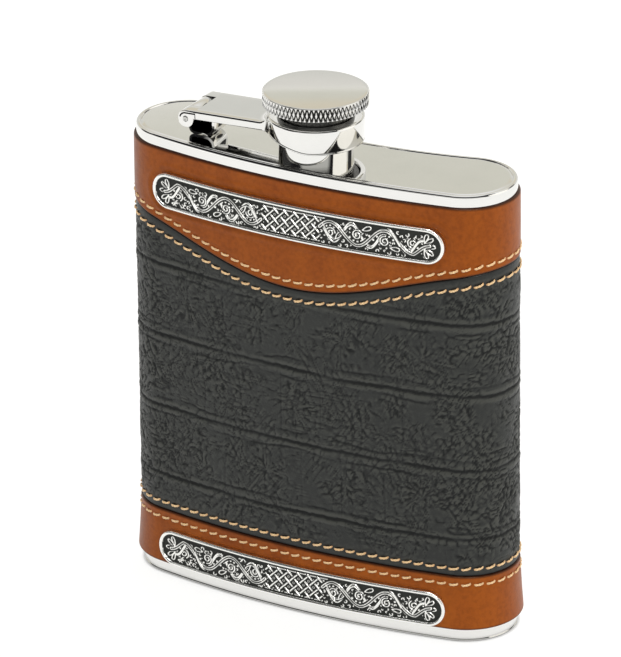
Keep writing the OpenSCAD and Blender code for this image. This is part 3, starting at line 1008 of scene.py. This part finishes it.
def badge(name, lo, hi):
    """A cast plate bent to the flask: a round raised border, a pitted ground and the knotwork."""
    half_l, half_h = (hi.x - lo.x) / 2, (hi.z - lo.z) / 2
    mid_x, mid_z = (hi.x + lo.x) / 2, (hi.z + lo.z) / 2
    nu, nv = BADGE_GRID
    tight = math.pi / 2 * 0.92
    v = np.sin(np.linspace(-1, 1, nv) * tight) / math.sin(tight)
    u = np.linspace(-1, 1, nu)
    b = np.broadcast_to(v[None] * half_h, (nu, nv))
    a = u[:, None] * (half_l - half_h + np.sqrt(np.maximum(half_h ** 2 - b ** 2, 0)))
    inward = half_h - np.hypot(np.maximum(np.abs(a) - (half_l - half_h), 0), b)
    work = knotwork(a, b) * np.clip((inward - 0.72 * MM) / (0.2 * MM), 0, 1)
    ground = 0.62 * MM + 0.08 * MM * (fractal(a / (0.4 * MM), b / (0.4 * MM), 400, 2) - 0.5)
    border = np.sqrt(np.clip(1 - ((inward - 0.44 * MM) / (0.46 * MM)) ** 2, 0, 1))
    height = np.maximum(ground + 0.36 * MM * work, (0.66 + 0.54 * border) * MM * (inward < 0.90 * MM))
    inner_r = front_cy - lo.y - BADGE_T
    angle = np.arcsin((a + mid_x) / (inner_r + BADGE_T))

    def bent(r):
        return np.stack([r * np.sin(angle), front_cy - r * np.cos(angle), b + mid_z], -1)

    front, back = bent(inner_r + height), bent(inner_r - 0.25 * MM)
    ring = [(i, 0) for i in range(nu)] + [(nu - 1, j) for j in range(1, nv)]
    ring += [(i, nv - 1) for i in range(nu - 2, -1, -1)] + [(0, j) for j in range(nv - 2, 0, -1)]
    m = len(ring)
    front_index = [i * nv + j for i, j in ring]
    back_index = {ij: nu * nv + k for k, ij in enumerate(ring)}
    verts = np.concatenate([front.reshape(-1, 3), np.array([back[ij] for ij in ring])])
    faces = grid_faces(nu, nv)
    for k in range(m):
        after = (k + 1) % m
        faces.append((front_index[k], front_index[after], nu * nv + after, nu * nv + k))
    for i in range(nu - 1):
        faces.append(tuple(back_index[ij] for ij in ((i, 0), (i + 1, 0), (i + 1, nv - 1), (i, nv - 1))))
    faces += [tuple(back_index[i, j] for j in range(nv)) for i in (0, nu - 1)]
    obj = outward(mesh_object(name, verts, faces))
    bright = np.where(inward < 0.86 * MM, 0.95, np.clip(work, 0, 1))
    store(obj, "relief", np.concatenate([bright.ravel(), np.full(m, 0.5)]))
    return obj


piece(badge("badge_upper", upper_lo, upper_hi), "flask", "pewter", PEWTER, "upper_badge")
piece(badge("badge_lower", lower_lo, lower_hi), "flask", "pewter", PEWTER, "lower_badge")


# ---------------------------------------------------------------- steel rims and plates
SWEEP_PER_MM = 1.6
HOLE_SIDES = 64


def rim_sweep(name, section, hole_r=None):
    """Sweeps a (off, z) section round the outline, and closes it flat at its first and last points."""
    count = int(2 * S_HALF / MM * SWEEP_PER_MM)
    p, n = rim(-S_HALF + np.arange(count) * 2 * S_HALF / count)
    section = np.asarray(section, float)
    xy = p[:, None] + n[:, None] * section[None, :, :1]
    z = np.broadcast_to(section[None, :, 1], xy.shape[:2])
    rows = len(section)
    bm = bmesh.new()
    made = [bm.verts.new(v) for v in np.concatenate([xy, z[..., None]], -1).reshape(-1, 3)]
    for f in grid_faces(count, rows, True, False):
        bm.faces.new([made[i] for i in f])
    holes = []
    for end in (0, rows - 1):
        loop = [made[i * rows + end] for i in range(count)]
        edges = [bm.edges.get((loop[i], loop[(i + 1) % count])) for i in range(count)]
        if hole_r:
            circle = [(hole_r * math.cos(t), hole_r * math.sin(t)) for t in round_angles(HOLE_SIDES)]
            ring = [bm.verts.new((x, y, section[end][1])) for x, y in circle]
            edges += [bm.edges.new((ring[i], ring[(i + 1) % HOLE_SIDES])) for i in range(HOLE_SIDES)]
            holes.append(ring)
        bmesh.ops.triangle_fill(bm, use_beauty=True, edges=edges)
    if hole_r:
        a, b = holes
        for i in range(HOLE_SIDES):
            bm.faces.new((a[i - 1], a[i], b[i], b[i - 1]))
    bmesh.ops.recalc_face_normals(bm, faces=bm.faces)
    return smooth_by_angle(from_bmesh(name, bm), 40)


PLATE_T = 0.8 * MM
NECK_HOLE = 6.45 * MM
BEND = 0.60 * MM
LIP = 0.16 * MM
FOOT_R = 0.30 * MM
top_section = [(-4 * MM, TOP_Z - PLATE_T), (-SHEET_T, TOP_Z - PLATE_T), (-SHEET_T, LEATHER_TOP_Z)]
top_section += arc((-LIP, LEATHER_TOP_Z + LIP), LIP, 270, 360, 5)
top_section += arc((-BEND, TOP_Z + 0.06 * MM - BEND), BEND, 0, 90, 9)
top_section += arc((-0.86 * MM, TOP_Z - 0.10 * MM), 0.16 * MM, 90, 175, 5)
top_section += [(-1.14 * MM, TOP_Z - 0.20 * MM), (-1.34 * MM, TOP_Z - 0.15 * MM), (-1.52 * MM, TOP_Z),
                (-1.8 * MM, TOP_Z), (-4 * MM, TOP_Z)]
rim_top = rim_sweep("rim_top", top_section, NECK_HOLE)
piece(rim_top, "flask", "polished_steel", STEEL, "top_plate")
base_section = [(-4 * MM, 0), (-1.4 * MM, 0)] + arc((-FOOT_R, FOOT_R), FOOT_R, 270, 360, 7)
base_section += [(0, 0.34 * MM), (-0.16 * MM, 0.42 * MM), (0, 0.64 * MM)]
base_section += arc((-LIP, LEATHER_LOW_Z - LIP), LIP, 0, 90, 5)
base_section += [(-SHEET_T, LEATHER_LOW_Z), (-SHEET_T, PLATE_T), (-4 * MM, PLATE_T)]
rim_base = rim_sweep("rim_bottom", base_section)
piece(rim_base, "flask", "polished_steel", STEEL, "bottom_plate")

# ---------------------------------------------------------------- neck with its helical thread
neck_lo, neck_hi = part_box("neck")
NECK_R = neck_hi.x
MOUTH_R = 5.6 * MM
CREST_R = MOUTH_R + 1 * MM
ROOT_R = CREST_R - 0.35 * MM
STEP_Z = TOP_Z + 4.1 * MM
LIP_Z = neck_hi.z
PITCH_CAP = 1.2 * MM


def helix_ridge(name, z0, z1):
    """The raised V thread of the spout, which runs out to nothing at both ends."""
    turns = (z1 - z0) / PITCH_CAP
    n = int(turns * 96)
    t = np.linspace(0, 1, n)
    angle = t * turns * 2 * math.pi
    z = z0 + t * (z1 - z0)
    run_out = np.clip(np.minimum(t, 1 - t) * turns * 5, 0.02, 1)
    crest = ROOT_R + (CREST_R - ROOT_R) * run_out
    sunk = np.full(n, ROOT_R - 0.1 * MM)
    foot_z, flat_z = 0.42 * PITCH_CAP, 0.10 * PITCH_CAP
    section = [(sunk, z - foot_z), (crest, z - flat_z), (crest, z + flat_z), (sunk, z + foot_z)]
    verts = np.stack([np.stack([r * np.cos(angle), r * np.sin(angle), h], -1) for r, h in section], 1)
    last = (n - 1) * 4
    faces = grid_faces(n, 4, False, True) + [(0, 1, 2, 3), (last + 3, last + 2, last + 1, last)]
    return smooth_by_angle(outward(mesh_object(name, verts.reshape(-1, 3), faces)), 30)


SPIGOT_R = 6.4 * MM
SEAT_Z = TOP_Z - 0.2 * MM
neck_outline = [(MOUTH_R, neck_lo.z), (SPIGOT_R, neck_lo.z), (SPIGOT_R, SEAT_Z), (NECK_R, SEAT_Z),
                (NECK_R, STEP_Z), (ROOT_R, STEP_Z), (ROOT_R, LIP_Z), (MOUTH_R, LIP_Z)]
neck_rounds = np.array([0.2, 0.2, 0, 0, 0.45, 0.1, 0.25, 0.2]) * MM
spout_body = smooth_by_angle(lathe("spout_body", fillet(neck_outline, neck_rounds)), 50)
spout_thread = helix_ridge("spout_thread", STEP_Z + 0.5 * MM, LIP_Z - 0.35 * MM)
piece(join("spout", [spout_body, spout_thread]), "flask", "polished_steel", STEEL, "neck")

# ---------------------------------------------------------------- hinge
arm_joint = next(j for j in frame["joints"] if j["name"] == "arm_hinge")
PIN_X, _, PIN_Z = arm_joint["pos_m"]
pin_lo, pin_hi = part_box("hinge_pin")
PIN_R = (pin_hi.z - pin_lo.z) / 2
bracket_lo, bracket_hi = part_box("hinge_bracket")
arm_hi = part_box("lid_arm")[1]
ARM_T = 0.6 * MM
EAR_R = 2.0 * MM
ARM_HALF_W = (pin_hi.y - pin_lo.y) / 2 - 0.15 * MM
ARM_SIDE_H = 1.85 * MM
ARM_RISE = math.radians(2.5)
NOTCH_HALF_W = 3.1 * MM
NOTCH_L = 2.4 * MM
COLLAR_R = arm_hi.x
COLLAR_LOW = TOP_Z + 3.8 * MM
COLLAR_TOP = arm_hi.z


def upright(u, v, w):
    """A plate drawn in the XZ plane: u to +X, v up, w to -Y."""
    return (u, -w, v)


def strip_section(line, thickness):
    """The closed outline of a bent strip: its middle line widened to a thickness."""
    line = np.asarray(line, float)
    d = np.gradient(line, axis=0)
    n = np.stack([-d[:, 1], d[:, 0]], -1) / np.linalg.norm(d, axis=1)[:, None]
    return np.concatenate([line + n * thickness / 2, (line - n * thickness / 2)[::-1]])


def bracket():
    """A strip rolled round the pin, run down, along the plate and up again into a loop."""
    t = 0.6 * MM
    roll = 1.9 * MM - t / 2
    left, right_side = bracket_lo.x + 0.6 * MM + t / 2, bracket_hi.x - t / 2
    low, high = TOP_Z + t / 2, PIN_Z + 1.25 * MM - t / 2
    r_low, r_foot, r_top = 1.1 * MM, 2.1 * MM, 1.6 * MM
    line = arc((PIN_X, PIN_Z), roll, 25, 232, 36)
    line += arc((left + r_low + 0.1 * MM, low + r_low), r_low, 190, 268, 9)
    line += arc((right_side - r_foot, low + r_foot), r_foot, 272, 356, 14)
    line += arc((right_side - r_top, high - r_top), r_top, 4, 96, 12)
    line += [(PIN_X + 1.75 * MM, high + 0.02 * MM), (PIN_X + 1.35 * MM, high + 0.02 * MM)]
    return plate("strip", strip_section(line, t), [], upright, bracket_hi.y - bracket_lo.y, 0.10 * MM)


piece(bracket(), "flask", "polished_steel", STEEL, "hinge_bracket")


def pin():
    """A riveted pin: a plain shank with a low domed head at each end."""
    half = (pin_hi.y - pin_lo.y) / 2
    dimple = 0.28 * MM
    outline = [(0, half - 0.10 * MM), (dimple, half - 0.04 * MM), (dimple + 0.06 * MM, half)]
    outline += arc((PIN_R - 0.2 * MM, half - 0.2 * MM), 0.2 * MM, 90, 0, 5)
    outline = [(r, -z) for r, z in outline] + outline[::-1]
    obj = lathe("pin", outline, 48)
    obj.data.transform(Matrix.Translation((PIN_X, 0, PIN_Z)) @ Matrix.Rotation(math.pi / 2, 4, "X"))
    return smooth_by_angle(obj, 40)


piece(pin(), "arm", "shell_steel", SATIN, "hinge_pin")

# The arm is drawn level, with u along it from the pin, v across it and w up from the pin
RAMP = 1.75 * MM
SIDE_FILLET = 1.5 * MM
ARM_BEND = 0.45 * MM
ARM_LOW = EAR_R - ARM_SIDE_H
FILLET_X = -math.sqrt((COLLAR_R + SIDE_FILLET) ** 2 - (ARM_HALF_W + SIDE_FILLET) ** 2)
SIDE_END_X = FILLET_X * COLLAR_R / (COLLAR_R + SIDE_FILLET)
COLLAR_RISE = math.tan(math.radians(10.4))
RISE_X = 3 * MM
COLLAR_SIDES = 240


def tilted(u, v, w):
    """From the arm's own level frame to the world."""
    return (PIN_X + u * math.cos(ARM_RISE) - w * math.sin(ARM_RISE), v,
            PIN_Z + u * math.sin(ARM_RISE) + w * math.cos(ARM_RISE))


def arm_half_width(x):
    """Half the arm's width at world x, flaring in a round fillet into the collar."""
    inside = np.clip(SIDE_FILLET ** 2 - np.maximum(x - FILLET_X, 0) ** 2, 0, None)
    return np.where(x < FILLET_X, ARM_HALF_W, ARM_HALF_W + SIDE_FILLET - np.sqrt(inside))


def collar():
    """The ring that holds the cap captive: rounded edges, and a lower edge that rises towards the arm."""
    wall, hole, bead = COLLAR_R - 1.1 * MM, 8.3 * MM, 0.26 * MM
    edge = [(COLLAR_R, 0.62 * MM), (COLLAR_R - 0.15 * MM, 0.40 * MM), (COLLAR_R - 0.04 * MM, 0.32 * MM)]
    edge += arc((COLLAR_R - 0.30 * MM, bead), bead, 0, -90, 7)
    edge += [(wall + 0.1 * MM, 0.0), (wall, 0.1 * MM)]
    top = [(wall, COLLAR_TOP - 0.8 * MM), (hole + 0.1 * MM, COLLAR_TOP - 0.8 * MM)]
    top += [(hole, COLLAR_TOP - 0.7 * MM), (hole, COLLAR_TOP - 0.15 * MM), (hole + 0.15 * MM, COLLAR_TOP)]
    top += arc((COLLAR_R - 0.55 * MM, COLLAR_TOP - 0.55 * MM), 0.55 * MM, 90, 0, 9)
    t = round_angles(COLLAR_SIDES)[:, None]
    past, soft = RISE_X - COLLAR_R * np.cos(t), 1.2 * MM
    eased = np.where(past < -soft, 0, (past + soft) ** 2 / (4 * soft))
    lift = COLLAR_RISE * np.where(past > soft, past, eased)
    r, z = np.array(top + edge).T
    follows = np.arange(len(z)) >= len(top)
    z = z + follows * (COLLAR_LOW + lift)
    verts = np.stack([r * np.cos(t), r * np.sin(t), z], -1).reshape(-1, 3)
    faces = grid_faces(COLLAR_SIDES, len(r), True, True)
    return smooth_by_angle(outward(mesh_object("collar", verts, faces)), 50)


def ramp_rise(x, y):
    """Rise of the top sheet where it sweeps up into the collar."""
    into = np.clip(COLLAR_R + RAMP - np.hypot(x, y), 0, RAMP)
    return RAMP - np.sqrt(RAMP ** 2 - into ** 2)


def mirrored(points):
    return [(-share, *rest) for share, *rest in points]


# Cross-section of the arm's channel: share of the half width, inset from it, depth under the top, and lift.
# Points on the free lower edges have no depth, but a lift from those edges
FOLD = [(1 - math.cos(a), 1 - math.sin(a)) for a in np.radians(np.linspace(0, 90, 8))]
FOLD_IN = 0.12 * MM
OUTSIDE = [(1, 0.07 * MM, None, 0.0), (1, 0.0, None, 0.09 * MM)]
OUTSIDE += [(1, ARM_BEND * a, ARM_BEND * b, 0.0) for a, b in FOLD]
INSIDE = [(1, ARM_T + FOLD_IN * a, ARM_T + FOLD_IN * b, 0.0) for a, b in FOLD[::2]]
INSIDE += [(1, ARM_T, None, 0.09 * MM), (1, ARM_T - 0.07 * MM, None, 0.0)]
ACROSS = np.linspace(-0.9, 0.9, 27)[1:-1]
CHANNEL = mirrored(OUTSIDE) + [(f, 0.0, 0.0, 0.0) for f in ACROSS] + OUTSIDE[::-1]
CHANNEL += INSIDE[::-1] + [(f, 0.0, ARM_T, 0.0) for f in ACROSS[::-1]] + mirrored(INSIDE)


def channel_point(share, along, inset, depth, lift):
    """One point of the channel, a part of the way from the notch to the collar."""
    start_x = PIN_X + NOTCH_L * math.cos(ARM_RISE)
    if abs(share) < 1:
        v = share * (ARM_HALF_W - 1 * MM)
        end_x = -math.sqrt((COLLAR_R - 0.3 * MM) ** 2 - v ** 2)
        x = start_x + (end_x - start_x) * along
    else:
        x = start_x + (SIDE_END_X - start_x) * along
        v = share * (float(arm_half_width(x)) - inset)
    u = (x - PIN_X) / math.cos(ARM_RISE)
    if depth is None:
        near = float(np.clip((x + COLLAR_R - 0.6 * MM) / (1.6 * MM), 0, 1))
        return tilted(u, v, ARM_LOW + lift - 0.35 * MM * near ** 2)
    point = tilted(u, v, EAR_R - depth)
    return (point[0], v, point[2] + float(ramp_rise(x, v)))


def arm_sheet():
    """The folded channel: two sides and a top, the top ramped up to the collar."""
    stations = np.concatenate([np.linspace(0, 0.75, 14)[:-1], np.linspace(0.75, 1, 26)])
    verts = [channel_point(share, along, *rest) for along in stations for share, *rest in CHANNEL]
    rows, n_out, n_top, n_in = len(CHANNEL), len(OUTSIDE), len(ACROSS), len(INSIDE)
    faces = grid_faces(len(stations), rows, False, True)
    for end in (0, (len(stations) - 1) * rows):
        right_side = end + n_out + n_top
        left_in = end + rows - n_in
        faces.append((*range(end, end + n_out), *range(left_in, end + rows)))
        faces.append(tuple(range(right_side, right_side + n_out + n_in)))
        above = range(end + n_out - 1, right_side + 1)
        below = range(right_side + n_out + n_in - 1, left_in + 1)
        faces += [(above[q], above[q + 1], below[-2 - q], below[-1 - q]) for q in range(n_top + 1)]
    return smooth_by_angle(outward(mesh_object("channel", verts, faces)), 38)


def tongue(side):
    """The end of the arm beside the notch: an ear, and the top sheet that curls over it."""
    inner, bend = EAR_R - ARM_T, ARM_BEND
    loop = [(ARM_HALF_W - ARM_T, inner - 0.2 * MM), (ARM_HALF_W, inner - 0.2 * MM)]
    loop += arc((ARM_HALF_W - bend, EAR_R - bend), bend, 0, 90, 6)
    loop += [(NOTCH_HALF_W + 0.08 * MM, EAR_R), (NOTCH_HALF_W, EAR_R - 0.08 * MM), (NOTCH_HALF_W, inner)]
    loop += [(ARM_HALF_W - ARM_T, inner)]
    stations = [(NOTCH_L * (1 - k / 6), math.pi / 2) for k in range(7)]
    stations += [(0.0, a) for a in np.radians(np.linspace(90, 205, 22))[1:15]]
    verts = [tilted(u + r * math.cos(a), side * v, r * math.sin(a)) for u, a in stations for v, r in loop]
    rows = len(loop)
    last = (len(stations) - 1) * rows
    faces = grid_faces(len(stations), rows, False, True)
    faces += [tuple(range(rows)), tuple(range(last, last + rows))]
    sheet = smooth_by_angle(outward(mesh_object("sheet", verts, faces)), 38)
    outline = [(NOTCH_L + 0.3 * MM, ARM_LOW), (NOTCH_L + 0.3 * MM, EAR_R - 0.3 * MM)]
    outline += arc((0, 0), EAR_R * 0.93, 95, 200, 16)
    outline += arc((0, 0), EAR_R, 208, 360 + math.degrees(math.asin(ARM_LOW / EAR_R)), 26)
    hole = [(PIN_R * math.cos(t), PIN_R * math.sin(t)) for t in round_angles(28)]
    middle = ARM_HALF_W - ARM_T / 2
    ear = plate("ear", outline, [hole], lambda u, w, v: tilted(u, side * middle - v, w), ARM_T, 0.10 * MM)
    return [sheet, ear]


arm = join("arm", [arm_sheet()] + tongue(-1) + tongue(1) + [collar()])
piece(arm, "arm", "polished_steel", STEEL, "lid_arm")
# Painted shade: the downward faces under the arm's top sheet get the darkened steel
arm.data.materials.append(STEEL_IN_PAINTED_SHADE)
for face in arm.data.polygons:
    x, y, _ = face.center
    if face.normal.z < -0.5 and abs(y) < ARM_HALF_W - ARM_T and math.hypot(x, y) > COLLAR_R:
        face.material_index = 1

# ---------------------------------------------------------------- cap
knob_lo, knob_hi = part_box("cap_knob")
KNOB_R = knob_hi.x
TEETH = 72
KNURL_DEPTH = 0.42 * MM
KNURL_ROWS = 33
KNURL_LOW = knob_lo.z + 0.28 * MM
KNURL_HIGH = knob_hi.z - 0.30 * MM
DOME = 0.12 * MM


def saw(q):
    """0 at whole numbers, rising in straight lines to 1 halfway between them."""
    return 1 - np.abs(2 * (q % 1) - 1)


def knob():
    """A turned knob: a polished crown, a fine lip, two rows of diamond knurling and a hollow underside."""
    segments = TEETH * 16
    t = round_angles(segments)[:, None]
    z = np.linspace(KNURL_LOW, KNURL_HIGH, KNURL_ROWS)
    turn = t * TEETH / (2 * math.pi)
    up_rows = (z - KNURL_LOW) / (KNURL_HIGH - KNURL_LOW)
    proud = np.minimum(1.0, 1.7 * np.minimum(saw(turn + up_rows), saw(turn - up_rows)))
    skirt = [(8.0 * MM, knob_hi.z - 1 * MM), (8.0 * MM, knob_lo.z + 0.1 * MM), (8.15 * MM, knob_lo.z)]
    skirt += [(KNOB_R - 0.75 * MM, knob_lo.z), (KNOB_R - 0.5 * MM, knob_lo.z + 0.06 * MM)]
    skirt += [(KNOB_R - 0.32 * MM, knob_lo.z + 0.18 * MM)]
    crown = [(KNOB_R - 0.34 * MM, KNURL_HIGH + 0.02 * MM)]
    crown += arc((KNOB_R - 0.38 * MM, knob_hi.z - DOME - 0.20 * MM), 0.20 * MM, 0, 85, 7)
    crown += [(KNOB_R * share, knob_hi.z - DOME * share ** 2) for share in np.linspace(0.93, 0.07, 16)]
    skirt_r, skirt_z = np.array(skirt).T
    crown_r, crown_z = np.array(crown).T
    ones = np.ones((segments, 1))
    r = np.concatenate([ones * skirt_r, KNOB_R - KNURL_DEPTH * (1 - proud), ones * crown_r], 1)
    heights = np.concatenate([skirt_z, z, crown_z])
    m = len(heights)
    verts = np.stack([r * np.cos(t), r * np.sin(t), np.broadcast_to(heights, r.shape)], -1).reshape(-1, 3)
    top_centre, low_centre = len(verts), len(verts) + 1
    verts = np.concatenate([verts, [[0, 0, knob_hi.z], [0, 0, knob_hi.z - 1 * MM]]])
    faces = grid_faces(segments, m, True, False)
    for i in range(segments):
        j = (i + 1) % segments
        faces += [(i * m + m - 1, j * m + m - 1, top_centre), (j * m, i * m, low_centre)]
    obj = outward(mesh_object("knob", verts, faces))
    # Painted shade: the valleys of the knurling get the darkened steel
    pair = proud + np.roll(proud, -1, 0)
    shaded_valley = np.zeros((segments, m - 1), bool)
    shaded_valley[:, len(skirt):len(skirt) + KNURL_ROWS - 1] = (pair[:, 1:] + pair[:, :-1]) / 4 < 0.42
    shade_marks = np.zeros(len(obj.data.polygons), np.int32)
    shade_marks[:shaded_valley.size] = shaded_valley.reshape(-1)
    piece(smooth_by_angle(obj, 22), "cap", "polished_steel", STEEL, "cap_knob")
    obj.data.materials.append(STEEL_IN_PAINTED_SHADE)
    obj.data.polygons.foreach_set("material_index", shade_marks)


knob()

# CAD pieces that keep their own shape
# The cap stem, in the gap under the knob, gets the darkened steel as painted shade
for node, material in (("body_tube", SATIN), ("cap_stem", STEEL_IN_PAINTED_SHADE),
                       ("cap_washer", WASHER), ("cap_seal", RUBBER)):
    carried = frame["nodes"][node]
    carried.data.materials.clear()
    carried.data.materials.append(material)

# ---------------------------------------------------------------- floor, light and camera
FLOOR_GLOW = 0.84
CONTACT = 0.9 * MM


def glowing_paper():
    """White paper that glows evenly, with a painted contact shadow: its glow is dimmed by ambient occlusion
    only right beside what touches it.
    """
    n = new_material("paper")
    open_sky = n.add("ShaderNodeAmbientOcclusion", {"Distance": CONTACT}, samples=6).outputs["AO"]
    glow = n.math("MULTIPLY", n.math("POWER", open_sky, 1.2), FLOOR_GLOW)
    return n.set(Base_Color=n.ramp(n.noise(6, 3), [(0.3, 0.52), (0.7, 0.56)]), Roughness=0.9,
                 Specular_IOR_Level=0.0, Emission_Color=(1.0, 1.0, 0.99), Emission_Strength=glow)


floor = mesh_object("floor", [(-4, -4, 0), (4, -4, 0), (4, 4, 0), (-4, 4, 0)], [(0, 1, 2, 3)])
floor.data.materials.append(glowing_paper())

CAM_AZ, CAM_EL, CAM_ROLL = math.radians(29.86), math.radians(23.87), math.radians(-0.63)
CAM_DISTANCE = 1.6704
CAM_TARGET = Vector((-1.97 * MM, 0, 64.48 * MM))
LENS = 413.726
SENSOR = 36.0
back = Vector((math.sin(CAM_AZ) * math.cos(CAM_EL), -math.cos(CAM_AZ) * math.cos(CAM_EL), math.sin(CAM_EL)))
right = Vector((math.cos(CAM_AZ), math.sin(CAM_AZ), 0))
up = back.cross(right)
rolled_right = math.cos(CAM_ROLL) * right + math.sin(CAM_ROLL) * up
rolled_up = -math.sin(CAM_ROLL) * right + math.cos(CAM_ROLL) * up
turned = Matrix((rolled_right, rolled_up, back)).transposed().to_4x4()
camera_data = bpy.data.cameras.new("camera")
camera_data.sensor_width = SENSOR
camera_data.lens = LENS
camera_data.clip_start, camera_data.clip_end = 0.05, 20
camera = linked("camera", camera_data)
camera.matrix_world = Matrix.Translation(CAM_TARGET + back * CAM_DISTANCE) @ turned
bpy.context.scene.camera = camera


def area_light(name, place, aim, size, power, colour=(1, 1, 1)):
    data = bpy.data.lights.new(name, "AREA")
    data.shape = "RECTANGLE"
    data.size, data.size_y = size
    data.energy = power
    data.color = colour
    lamp = linked(name, data)
    lamp.location = place
    lamp.rotation_euler = (Vector(aim) - Vector(place)).to_track_quat("-Z", "Y").to_euler()
    return lamp


MIDDLE = (0, 0, 0.06)
lamps = [area_light("key", (0.62, -0.62, 0.95), MIDDLE, (0.30, 0.30), 6.5, (1, 0.98, 0.95)),
         area_light("side", (-0.85, -0.60, 0.62), MIDDLE, (0.22, 0.5), 0.5),
         area_light("overhead", (0.0, -0.15, 1.3), MIDDLE, (0.3, 0.9), 6.0)]
# The mirror-bright steel shows only the studio round it, and not the lamps
lamp_lit = bpy.data.collections.new("lamp_lit")
for obj in bpy.context.scene.objects:
    if obj.type == "MESH" and obj is not floor and not {STEEL, SATIN, STEEL_IN_PAINTED_SHADE} & set(obj.data.materials):
        lamp_lit.objects.link(obj)
for lamp in lamps:
    lamp.light_linking.receiver_collection = lamp_lit


def studio_world():
    """The studio that the steel mirrors, by direction: dark in front, with a pale screen, grey-beige behind,
    bright overhead, and one bright and two dark patches at the sides and the back."""
    world = bpy.data.worlds.new("studio")
    bpy.context.scene.world = world
    n = Nodes(world, "Generated")
    height = n.add("ShaderNodeSeparateXYZ", {0: n.coords}).outputs["Z"]

    def towards(way, low, high):
        """0 to 1 as the direction turns towards way."""
        dot = n.add("ShaderNodeVectorMath", {0: n.coords, 1: way}, operation="DOT_PRODUCT").outputs["Value"]
        reach = {"Value": dot, "From Min": low, "From Max": high}
        return n.add("ShaderNodeMapRange", reach).outputs["Result"]

    dark = n.ramp(height, [(0.0, (0.95, 0.95, 0.94)), (0.03, (0.015, 0.015, 0.017)),
                           (0.90, (0.015, 0.015, 0.015)), (0.95, (1.0, 1.0, 1.0))])
    screen = n.ramp(height, [(0.0, (0.6, 0.6, 0.6)), (0.36, (0.62, 0.62, 0.60)), (0.40, (0.50, 0.50, 0.48)),
                             (0.44, (0.05, 0.05, 0.05)), (0.52, (0.015, 0.015, 0.015))])
    front = n.mix(towards((0.423, -0.906, 0), 0.62, 0.74), dark, screen)
    behind = n.ramp(height, [(0.0, (0.92, 0.91, 0.88)), (0.335, (0.72, 0.72, 0.68)),
                             (0.360, (0.80, 0.785, 0.745)), (0.3690, (0.78, 0.765, 0.725)),
                             (0.3725, (1.0, 0.99, 0.95)), (0.3780, (0.71, 0.70, 0.62)),
                             (0.390, (0.71, 0.705, 0.63)), (0.405, (0.75, 0.69, 0.56)),
                             (0.50, (0.72, 0.69, 0.60)), (0.85, (0.95, 0.95, 0.95))])
    around = n.mix(towards((-0.25, 0.968, -1.0), -0.615, -0.59), front, behind)
    window = n.ramp(height, [(0.0, (1.34, 1.31, 1.24)), (1.0, (1.34, 1.31, 1.24))])
    around = n.mix(towards((0.880, 0.286, 0.38), 0.904, 0.910), around, window)
    shade = n.ramp(height, [(0.0, 0.04), (1.0, 0.05)])
    around = n.mix(towards((0.420, 0.824, 0.38), 0.981, 0.985), around, shade)
    around = n.mix(towards((-0.893, -0.239, 0.38), 0.93, 0.95), around, shade)
    n.put(n.tree.nodes["Background"].inputs["Color"], around)
    n.put(n.tree.nodes["Background"].inputs["Strength"], 1.0)


studio_world()
bpy.context.scene.view_settings.view_transform = "Standard"
bpy.context.scene.view_settings.look = "None"
